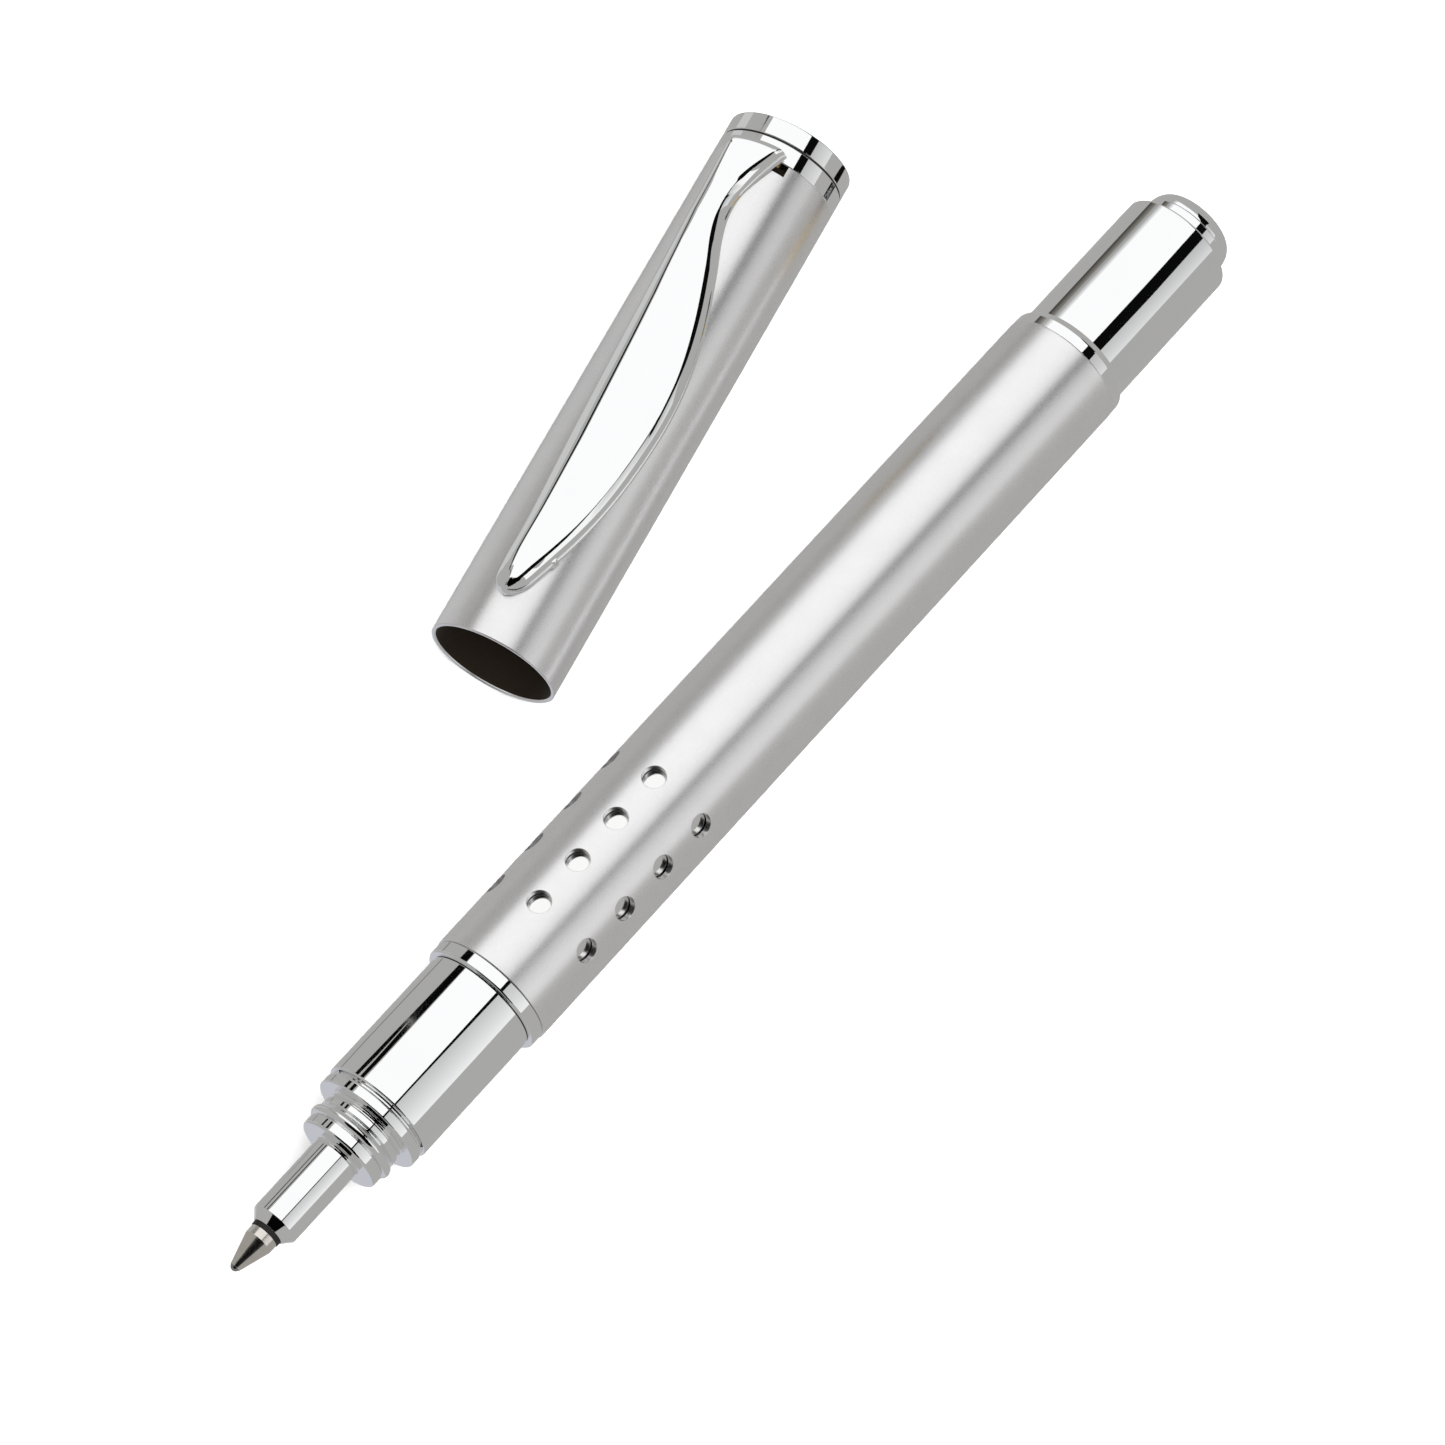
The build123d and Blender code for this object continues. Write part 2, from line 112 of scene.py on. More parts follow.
# The clip sits this many degrees round the cap from straight up.
CLIP_TILT = 29.6

CLOUD_PERIODS = 24.0
GLOSSIEST = 0.004
DULL_SPECULAR = 0.08
MOULD_SHADES = (0.8, 1.25)
MOULD_ROUGHNESS_SPREAD = 0.06

log = logging.getLogger("rollerball")

OutlinePoint = tuple[float, ...]
Rgb = tuple[float, float, float]


def display_to_linear(value: float) -> float:
    """Turns a display grey into linear light.

    Args:
        value: The grey as it looks on a screen, from 0 to 1, or above 1 for a glare.

    Returns:
        The same grey in linear light.
    """
    if value <= 0.04045:
        return value / 12.92
    return ((value + 0.055) / 1.055) ** 2.4


# ----------------------------------------------------------------------------- finishes


class Grain(Enum):
    """How a metal was worked, which sets the pattern of its fine marks."""

    POLISHED = "polished"
    BLASTED = "blasted"
    TURNED = "turned"
    DRAWN = "drawn"


class NodeMaterial:
    """One procedural material that is being put together from nodes."""

    def __init__(self, name: str) -> None:
        """Starts a material with a Principled surface and object coordinates.

        Args:
            name: The material's name.
        """
        self.material = bpy.data.materials.new(name)
        self.material.use_nodes = True
        self.tree = self.material.node_tree
        self.tree.nodes.clear()
        output = self.add("ShaderNodeOutputMaterial")
        self.surface = self.add("ShaderNodeBsdfPrincipled")
        self.tree.links.new(self.surface.outputs["BSDF"], output.inputs["Surface"])
        self.coordinates = self.add("ShaderNodeTexCoord").outputs["Object"]

    def add(self, kind: str, **settings: object) -> bpy.types.Node:
        """Adds a node and sets its plain properties.

        Args:
            kind: The node's Blender type name.
            **settings: Property names and their values.

        Returns:
            The new node.
        """
        node = self.tree.nodes.new(kind)
        for key, value in settings.items():
            setattr(node, key, value)
        return node

    def stretched(self, scale: Sequence[float]) -> bpy.types.NodeSocket:
        """Gives the object coordinates stretched by a factor along each axis.

        Args:
            scale: The factor for X, Y and Z.

        Returns:
            The stretched coordinates.
        """
        mapping = self.add("ShaderNodeMapping", vector_type="POINT")
        mapping.inputs["Scale"].default_value = scale
        self.tree.links.new(self.coordinates, mapping.inputs["Vector"])
        return mapping.outputs["Vector"]

    def noise(
        self, period: float, detail: float = 2.0, scale: Sequence[float] | None = None
    ) -> bpy.types.NodeSocket:
        """Adds a noise whose blotches are about one period wide.

        Args:
            period: The width of a blotch in millimetres.
            detail: How many finer layers it has.
            scale: An optional stretch for X, Y and Z.

        Returns:
            The noise's value, from 0 to 1.
        """
        texture = self.add("ShaderNodeTexNoise")
        texture.inputs["Scale"].default_value = 1.0 / (period * MM)
        texture.inputs["Detail"].default_value = detail
        vector = self.stretched(scale) if scale else self.coordinates
        self.tree.links.new(vector, texture.inputs["Vector"])
        return texture.outputs["Fac"]

    def ranged(
        self, value: bpy.types.NodeSocket, low: float, high: float, input_name: str
    ) -> None:
        """Spreads a 0 to 1 value over a range and feeds it to the surface.

        Args:
            value: The value to spread.
            low: The result where the value is about 0.3.
            high: The result where the value is about 0.7.
            input_name: The surface input that it feeds.
        """
        spread = self.add("ShaderNodeMapRange")
        spread.inputs["From Min"].default_value = 0.3
        spread.inputs["From Max"].default_value = 0.7
        spread.inputs["To Min"].default_value = low
        spread.inputs["To Max"].default_value = high
        self.tree.links.new(value, spread.inputs["Value"])
        self.tree.links.new(spread.outputs["Result"], self.surface.inputs[input_name])

    def tinted(self, value: bpy.types.NodeSocket, dark: Rgb, light: Rgb) -> None:
        """Colours the surface between two tints.

        Args:
            value: Where it lies between the two, from 0 to 1.
            dark: The tint where the value is low.
            light: The tint where the value is high.
        """
        ramp = self.add("ShaderNodeValToRGB")
        ramp.color_ramp.elements[0].position = 0.3
        ramp.color_ramp.elements[0].color = (*dark, 1.0)
        ramp.color_ramp.elements[1].position = 0.7
        ramp.color_ramp.elements[1].color = (*light, 1.0)
        self.tree.links.new(value, ramp.inputs["Fac"])
        self.tree.links.new(ramp.outputs["Color"], self.surface.inputs["Base Color"])

    def bumped(self, value: bpy.types.NodeSocket, depth: float) -> None:
        """Raises the surface by a height field.

        Args:
            value: The height, from 0 to 1.
            depth: The full height in millimetres.
        """
        bump = self.add("ShaderNodeBump")
        bump.inputs["Strength"].default_value = 1.0
        bump.inputs["Distance"].default_value = depth * MM
        self.tree.links.new(value, bump.inputs["Height"])
        self.tree.links.new(bump.outputs["Normal"], self.surface.inputs["Normal"])


@dataclass(frozen=True)
class MetalFinish:
    """A bare or plated metal: its tint, its gloss and the fine marks of its working."""

    name: str
    slot: str
    tint: Rgb
    roughness: float
    roughness_spread: float
    tint_spread: float
    grain: Grain
    grain_period: float
    grain_depth: float

    def stretch(self) -> tuple[float, float, float]:
        """The stretch of the grain for the way in which the metal was worked."""
        if self.grain is Grain.TURNED:
            return (1.0, 0.04, 0.04)
        if self.grain is Grain.DRAWN:
            return (0.04, 1.0, 1.0)
        return (1.0, 1.0, 1.0)

    def material(self) -> bpy.types.Material:
        """Makes the finish as a material.

        Returns:
            The material.
        """
        made = NodeMaterial(self.name)
        made.surface.inputs["Metallic"].default_value = 1.0
        fine = made.noise(self.grain_period, 3.0, self.stretch())
        cloud = made.noise(self.grain_period * CLOUD_PERIODS, 2.0, self.stretch())
        dark = tuple(channel * (1.0 - self.tint_spread) for channel in self.tint)
        made.tinted(cloud, dark, self.tint)
        made.ranged(
            fine,
            max(GLOSSIEST, self.roughness - self.roughness_spread),
            self.roughness + self.roughness_spread,
            "Roughness",
        )
        if self.grain_depth > 0.0:
            made.bumped(fine, self.grain_depth)
        return made.material


@dataclass(frozen=True)
class MouldedFinish:
    """A plastic, rubber or fibre: its tint, its sheen and the texture of its mould."""

    name: str
    slot: str
    tint: Rgb
    roughness: float
    texture_period: float
    texture_depth: float

    def material(self) -> bpy.types.Material:
        """Makes the finish as a material.

        Returns:
            The material.
        """
        made = NodeMaterial(self.name)
        texture = made.noise(self.texture_period, 4.0)
        dark, light = (
            tuple(min(1.0, channel * shade) for channel in self.tint) for shade in MOULD_SHADES
        )
        made.tinted(texture, dark, light)
        low, high = (self.roughness + MOULD_ROUGHNESS_SPREAD * side for side in (-1, 1))
        made.ranged(texture, low, high, "Roughness")
        made.surface.inputs["Specular IOR Level"].default_value = DULL_SPECULAR
        made.bumped(texture, self.texture_depth)
        return made.material


@dataclass(frozen=True)
class PaperFinish:
    """The table's pale, dull top."""

    name: str = "pale_table_top"
    tones: tuple[float, float] = (0.885, 0.90)
    roughness: tuple[float, float] = (0.70, 0.85)
    grain_period: float = 0.8
    specular: float = 0.1

    def material(self) -> bpy.types.Material:
        """Makes the finish as a material.

        Returns:
            The material.
        """
        made = NodeMaterial(self.name)
        made.surface.inputs["Specular IOR Level"].default_value = self.specular
        paper = made.noise(self.grain_period, 3.0)
        made.tinted(paper, *((tone, tone, tone) for tone in self.tones))
        made.ranged(paper, *self.roughness, "Roughness")
        return made.material


CHROME_TINT = (0.93, 0.935, 0.94)
SATIN_TINT = (0.93, 0.925, 0.93)

PEN_CHROME = MetalFinish(
    "pen_chrome", "polished_chrome", CHROME_TINT, 0.022, 0.010, 0.012, Grain.POLISHED, 0.30, 0.0
)
CAP_CHROME = MetalFinish(
    "cap_chrome", "cap_chrome", CHROME_TINT, 0.022, 0.010, 0.012, Grain.POLISHED, 0.30, 0.0
)
BARREL_SATIN = MetalFinish(
    "barrel_satin", "satin_barrel", SATIN_TINT, 0.30, 0.035, 0.025, Grain.BLASTED, 0.09, 0.0012
)
CAP_SATIN = MetalFinish(
    "cap_satin", "satin_cap", SATIN_TINT, 0.30, 0.035, 0.025, Grain.BLASTED, 0.09, 0.0012
)
LINER_TUBE = MetalFinish(
    "liner_tube", "liner_metal", (0.93, 0.93, 0.92), 0.12, 0.03, 0.04, Grain.DRAWN, 0.12, 0.0002
)
TURNED_BRASS = MetalFinish(
    "turned_brass", "brass", (0.80, 0.62, 0.32), 0.18, 0.05, 0.10, Grain.TURNED, 0.08, 0.0010
)
STEEL_TINT = (0.80, 0.765, 0.71)
STAINLESS = MetalFinish(
    "turned_stainless", "stainless", STEEL_TINT, 0.19, 0.04, 0.10, Grain.TURNED, 0.05, 0.0008
)
TUBE_TINT = (0.74, 0.75, 0.77)
REFILL_TUBE = MetalFinish(
    "refill_tube_metal", "refill_body", TUBE_TINT, 0.22, 0.05, 0.06, Grain.DRAWN, 0.10, 0.0008
)
CARBIDE = MetalFinish(
    "lapped_carbide", "carbide", (0.42, 0.42, 0.43), 0.12, 0.03, 0.06, Grain.BLASTED, 0.03, 0.0002
)
SPRING_WIRE = MetalFinish(
    "spring_wire", "spring_steel", (0.60, 0.60, 0.61), 0.24, 0.06, 0.08, Grain.BLASTED, 0.06, 0.0010
)
DARK_LACQUER = MouldedFinish("dark_lacquer", "brass", (0.015, 0.0105, 0.007), 0.62, 0.10, 0.002)
DARK_PLASTIC = MouldedFinish(
    "dark_plastic", "dark_plastic", (0.012, 0.011, 0.010), 0.42, 0.12, 0.004
)
INK_FIBRE = MouldedFinish("ink_fibre", "ink_fibre", (0.05, 0.06, 0.12), 0.88, 0.10, 0.03)
SEAL_RUBBER = MouldedFinish("seal_rubber", "seal_rubber", (0.03, 0.03, 0.03), 0.60, 0.15, 0.006)


class Palette:
    """Makes each finish's material once and hands it out."""

    def __init__(self) -> None:
        """Starts with no materials made."""
        self.made: dict[str, bpy.types.Material] = {}

    def dress(self, piece: bpy.types.Object, finish: MetalFinish | MouldedFinish) -> None:
        """Puts a finish on a piece, in place of whatever it had.

        Args:
            piece: The piece to dress.
            finish: The finish that it gets.
        """
        if finish.name not in self.made:
            self.made[finish.name] = finish.material()
        piece.data.materials.clear()
        piece.data.materials.append(self.made[finish.name])


# ------------------------------------------------------------------------------- meshes


@dataclass(frozen=True)
class TurningAxis:
    """The line that a turned part is turned about, with the directions square to it."""

    origin: Vector
    along: Vector
    side: Vector
    up: Vector

    def place(self, local: np.ndarray) -> np.ndarray:
        """Moves local points to the model's frame.

        Args:
            local: Points as rows of station, side and height, in millimetres.

        Returns:
            The same points in the model's frame, in metres.
        """
        basis = np.array([self.along, self.side, self.up])
        return local @ basis * MM + np.array(self.origin)

    def turn(self, local: np.ndarray) -> np.ndarray:
        """Turns local directions to the model's frame."""
        return local @ np.array([self.along, self.side, self.up])

    def tilted(self, angle: float) -> "TurningAxis":
        """The same line with its up direction leant towards its side by an angle in degrees."""
        turn = Matrix.Rotation(math.radians(-angle), 3, self.along)
        return TurningAxis(self.origin, self.along, turn @ self.side, turn @ self.up)


class Skin:
    """The vertices, surface normals and faces of one mesh that is being built."""

    def __init__(self) -> None:
        """Starts with nothing."""
        self.points: list[np.ndarray] = []
        self.normals: list[np.ndarray] = []
        self.faces: list[tuple[int, ...]] = []
        self.count = 0

    def row(self, points: np.ndarray, normals: np.ndarray) -> np.ndarray:
        """Adds a row of vertices.

        Args:
            points: Their places in metres.
            normals: The surface's direction at each.

        Returns:
            The indices of the new vertices.
        """
        self.points.append(points)
        self.normals.append(normals)
        indices = np.arange(self.count, self.count + len(points))
        self.count += len(points)
        return indices

    def bridge(self, first: np.ndarray, second: np.ndarray, closed: bool = True) -> None:
        """Joins two rows of equal length with four-sided faces.

        Args:
            first: The first row's indices.
            second: The second row's indices.
            closed: Whether the last vertex joins the first again.
        """
        count = len(first)
        for i in range(count if closed else count - 1):
            j = (i + 1) % count
            self.faces.append((int(first[i]), int(first[j]), int(second[j]), int(second[i])))

    def build(self, name: str, smooth_angle: float | None = None) -> bpy.types.Object:
        """Turns what was collected into a smooth, closed mesh object.

        Args:
            name: The object's name.
            smooth_angle: The angle in degrees up to which Blender smooths the edges itself, or
                None to use the surface normals that came with the vertices.

        Returns:
            The object, linked to the scene.
        """
        points = np.concatenate(self.points)
        normals = np.concatenate(self.normals)
        merged, keep = self.merge(points)
        faces = []
        for face in self.faces:
            ring = [int(merged[i]) for i in face]
            ring = [v for k, v in enumerate(ring) if v != ring[k - 1]]
            if len(set(ring)) == len(ring) and len(ring) > 2:
                faces.append(ring)
        mesh = bpy.data.meshes.new(name)
        mesh.from_pydata(points[keep].tolist(), [], faces)
        mesh.validate()
        mesh.update()
        if smooth_angle is None:
            self.shade(mesh, normals[keep])
        else:
            mesh.shade_smooth()
            mesh.set_sharp_from_angle(angle=math.radians(smooth_angle))
        piece = bpy.data.objects.new(name, mesh)
        bpy.context.scene.collection.objects.link(piece)
        return piece

    @staticmethod
    def merge(points: np.ndarray) -> tuple[np.ndarray, np.ndarray]:
        """Finds the vertices that lie on each other.

        Args:
            points: The places of all vertices.

        Returns:
            For each vertex its place in the merged list, and the indices that are kept.
        """
        grid = np.round(points / MERGE_DISTANCE).astype(np.int64)
        _, keep, merged = np.unique(grid, axis=0, return_index=True, return_inverse=True)
        return merged.reshape(-1), keep

    @staticmethod
    def shade(mesh: bpy.types.Mesh, normals: np.ndarray) -> None:
        """Gives each face corner the surface's own direction, or the face's at a sharp edge.

        Args:
            mesh: The mesh to shade.
            normals: The surface's direction at each vertex.
        """
        mesh.polygons.foreach_set("use_smooth", [True] * len(mesh.polygons))
        corner_vertex = np.zeros(len(mesh.loops), np.int64)
        mesh.loops.foreach_get("vertex_index", corner_vertex)
        sizes = np.zeros(len(mesh.polygons), np.int64)
        mesh.polygons.foreach_get("loop_total", sizes)
        flat = np.zeros(len(mesh.polygons) * 3)
        mesh.polygons.foreach_get("normal", flat)
        face_normal = np.repeat(flat.reshape(-1, 3), sizes, axis=0)
        corner = normals[corner_vertex]
        sharp = np.einsum("ij,ij->i", corner, face_normal) < SHARP_DOT
        corner = np.where(sharp[:, None], face_normal, corner)
        mesh.normals_split_custom_set(corner.tolist())


def rounded_corner(
    here: np.ndarray, before: np.ndarray, ahead: np.ndarray, rounding: float
) -> list[tuple[np.ndarray, np.ndarray]]:
    """Rounds one corner of an outline.

    Args:
        here: The corner.
        before: The corner before it.
        ahead: The corner after it.
        rounding: The radius of its rounding.

    Returns:
        The points that take the corner's place, each with its outward direction.
    """
    arrive = (here - before) / np.linalg.norm(here - before)
    leave = (ahead - here) / np.linalg.norm(ahead - here)
    turn = math.atan2(arrive[0] * leave[1] - arrive[1] * leave[0], float(arrive @ leave))
    out_before = np.array([-arrive[1], arrive[0]])
    out_after = np.array([-leave[1], leave[0]])
    if here[1] < ON_AXIS:
        return [(here, out_before if before[1] > ON_AXIS else out_after)]
    if abs(turn) < SMOOTH_TURN and rounding <= OUTLINE_ROUNDING:
        smooth = out_before + out_after
        return [(here, smooth / np.linalg.norm(smooth))]
    room = 0.46 * min(np.linalg.norm(here - before), np.linalg.norm(ahead - here))
    reach = min(rounding * math.tan(abs(turn) / 2), room)
    radius = reach / math.tan(abs(turn) / 2) * (1 if turn < 0 else -1)
    centre = here - arrive * reach - out_before * radius
    steps = max(2, math.ceil(abs(turn) / ARC_STEP))
    arc = []
    for k in range(steps + 1):
        cosine, sine = math.cos(turn * k / steps), math.sin(turn * k / steps)
        normal = np.array([[cosine, -sine], [sine, cosine]]) @ out_before
        arc.append((centre + normal * radius, normal))
    return arc


def rounded_outline(outline: Sequence[OutlinePoint]) -> tuple[np.ndarray, np.ndarray]:
    """Rounds the corners of a closed outline and finds its outward direction everywhere.

    Args:
        outline: Points of station, radius and, where it isn't the usual one, corner rounding.

    Returns:
        The outline's points and their outward directions, as rows of station and radius.
    """
    corners = np.array([p[:2] for p in outline], float)
    roundings = [p[2] if len(p) > 2 else OUTLINE_ROUNDING for p in outline]
    after = np.roll(corners, -1, axis=0)
    area = float(np.sum(corners[:, 0] * after[:, 1] - after[:, 0] * corners[:, 1]))
    if area > 0.0:
        corners, roundings = corners[::-1], roundings[::-1]
    rounded = []
    for i, (here, rounding) in enumerate(zip(corners, roundings)):
        rounded += rounded_corner(here, corners[i - 1], corners[(i + 1) % len(corners)], rounding)
    points, normals = zip(*rounded)
    return np.array(points), np.array(normals)


def arch(share: np.ndarray) -> np.ndarray:
    """A parabola over a stretch, which is 0 at both of its ends and 1 in its middle."""
    return 4 * share * (1 - share)


def quarter_round(share: float) -> float:
    """The height of a quarter circle, from 0 at its foot to 1 where the share reaches 1."""
    return math.sqrt(max(0.0, 1.0 - (1.0 - share) ** 2))


def turned(
    name: str, axis: TurningAxis, outline: Sequence[OutlinePoint], segments: int = 224
) -> bpy.types.Object:
    """Turns a closed outline about an axis into a solid's skin.

    Args:
        name: The piece's name.
        axis: The line to turn about.
        outline: The outline's corners, as station, radius and optional rounding.
        segments: How many steps there are round the axis.

    Returns:
        The piece.
    """
    profile, outward = rounded_outline(outline)
    angles = np.arange(segments) * 2 * math.pi / segments
    ring = np.stack([np.zeros(segments), np.sin(angles), np.cos(angles)], axis=1)
    skin = Skin()
    rows = []
    for (station, radius), (n_along, n_out) in zip(profile, outward):
        local = ring * radius + np.array([station, 0.0, 0.0])
        normal = ring * n_out + np.array([n_along, 0.0, 0.0])
        rows.append(skin.row(axis.place(local), axis.turn(normal)))
    for i, first in enumerate(rows):
        if profile[i][1] < ON_AXIS and profile[(i + 1) % len(rows)][1] < ON_AXIS:
            continue
        skin.bridge(rows[(i + 1) % len(rows)], first)
    return skin.build(name)


# ------------------------------------------------------------------------- the workshop


@dataclass
class Workshop:
    """What every sub-assembly needs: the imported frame, the finishes and the two axes."""

    frame: dict
    palette: Palette = field(default_factory=Palette)
    mouth_to_mount: float = 7.8

    def pen_axis(self) -> TurningAxis:
        """The pen's axis, from its writing point."""
        low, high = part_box("barrel_tube")
        tip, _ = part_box("writing_ball")
        origin = Vector((tip.x, (low.y + high.y) / 2, (low.z + high.z) / 2))
        return TurningAxis(origin, Vector((1, 0, 0)), Vector((0, 1, 0)), Vector((0, 0, 1)))

    def cap_axis(self) -> TurningAxis:
        """The cap's axis, from its mouth."""
        mounts = {m["name"]: m for m in self.frame["record"]["mounts"]}
        outward = Vector(mounts["cap_mouth"]["axis"]).normalized()
        mouth = Vector(mounts["cap_mouth"]["pos_m"]) + outward * self.mouth_to_mount * MM
        up = Vector((0, 0, 1))
        return TurningAxis(mouth, -outward, up.cross(-outward), up)

    def finish_piece(
        self,
        piece: bpy.types.Object,
        body: str,
        finish: MetalFinish | MouldedFinish,
        nodes: Sequence[str],
    ) -> bpy.types.Object:
        """Dresses a new piece, hangs it on its body and hides the CAD nodes that it stands for.

        Args:
            piece: The new piece.
            body: The CAD body that it rides on.
            finish: Its finish.
            nodes: The CAD nodes that it stands for.

        Returns:
            The same piece.
        """
        self.palette.dress(piece, finish)
        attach(piece, body)
        if nodes:
            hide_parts(*nodes)
        log.info("%s: %d faces, %s", piece.name, len(piece.data.polygons), finish.name)
        return piece

    @staticmethod
    def keep_unmirrored(*pieces: bpy.types.Object) -> None:
        """Keeps pieces out of mirror images, so that pen and cap look as if lit one at a time."""
        for piece in pieces:
            piece.visible_glossy = False

    def dress_node(self, node: str, finish: MetalFinish | MouldedFinish) -> None:
        """Puts a finish on a CAD node that is shown as it is.

        Args:
            node: The CAD node's name.
            finish: Its finish.
        """
        self.palette.dress(self.frame["nodes"][node], finish)
        log.info("%s: kept from the CAD model, %s", node, finish.name)


# --------------------------------------------------------------------------- the refill


@dataclass
class Refill:
    """The writing refill: ball, steel cone, dark collar, tube, ink and spring."""

    workshop: Workshop
    cone_front: float = 0.30
    cone_front_radius: float = 0.45
    cone_end: float = 3.02
    shank_radius: float = 1.25
    shank_end: float = 3.78
    tail_radius: float = 1.05
    tail_end: float = 7.0
    feed_radius: float = 0.55
    channel_radius: float = 0.18
    channel_end: float = 2.6
    socket_floor: float = 0.78
    socket_lip_radius: float = 0.405
    socket_seat: tuple[OutlinePoint, ...] = ((0.66, 0.34), (0.46, 0.418))
    collar_radius: float = 1.32
    collar_end: float = 5.6
    collar_slope_end: float = 6.1
    collar_body_radius: float = 1.75
    collar_body_end: float = 13.6
    tube_inner_radius: float = 2.75
    reservoir_start: float = 15.2
    rod_radius: float = 0.50

    def tip_outline(self) -> list[OutlinePoint]:
        """The steel cone, with the socket that holds the ball."""
        return [
            (self.cone_front, self.socket_lip_radius),
            (self.cone_front, self.cone_front_radius, CRISP),
            (self.cone_end, self.shank_radius, 0.12),
            (self.shank_end, self.shank_radius, CRISP),
            (self.shank_end, self.tail_radius),
            (self.tail_end, self.tail_radius, EASED),
            (self.tail_end, self.feed_radius),
            (self.channel_end, self.feed_radius),
            (self.channel_end, self.channel_radius),
            (self.socket_floor, self.channel_radius),
            *self.socket_seat,
        ]

    def collar_outline(self) -> list[OutlinePoint]:
        """The dark collar that holds the cone in the tube."""
        return [
            (self.shank_end, self.tail_radius),
            (self.shank_end, self.collar_radius, EASED),
            (self.collar_end, self.collar_radius),
            (self.collar_slope_end, self.collar_body_radius),
            (self.collar_body_end, self.collar_body_radius),
            (self.collar_body_end, self.tube_inner_radius),
            (self.reservoir_start, self.tube_inner_radius),
            (self.reservoir_start, self.rod_radius),
            (self.tail_end, self.rod_radius),
            (self.tail_end, self.tail_radius),
        ]

    def build(self) -> None:
        """Builds the visible front of the refill and dresses the rest."""
        axis, shop = self.workshop.pen_axis(), self.workshop
        tip = turned("writing_cone", axis, self.tip_outline())
        shop.finish_piece(tip, "refill", STAINLESS, ["refill_tip"])
        collar = turned("dark_collar", axis, self.collar_outline(), 128)
        shop.finish_piece(collar, "refill", DARK_PLASTIC, ["refill_collar"])
        shop.dress_node("writing_ball", CARBIDE)
        shop.dress_node("refill_tube", REFILL_TUBE)
        shop.dress_node("ink_feed_rod", INK_FIBRE)
        shop.dress_node("ink_reservoir", INK_FIBRE)
        shop.dress_node("refill_end_plug", DARK_PLASTIC)
        shop.dress_node("refill_spring", SPRING_WIRE)


# -------------------------------------------------------------------------- the section


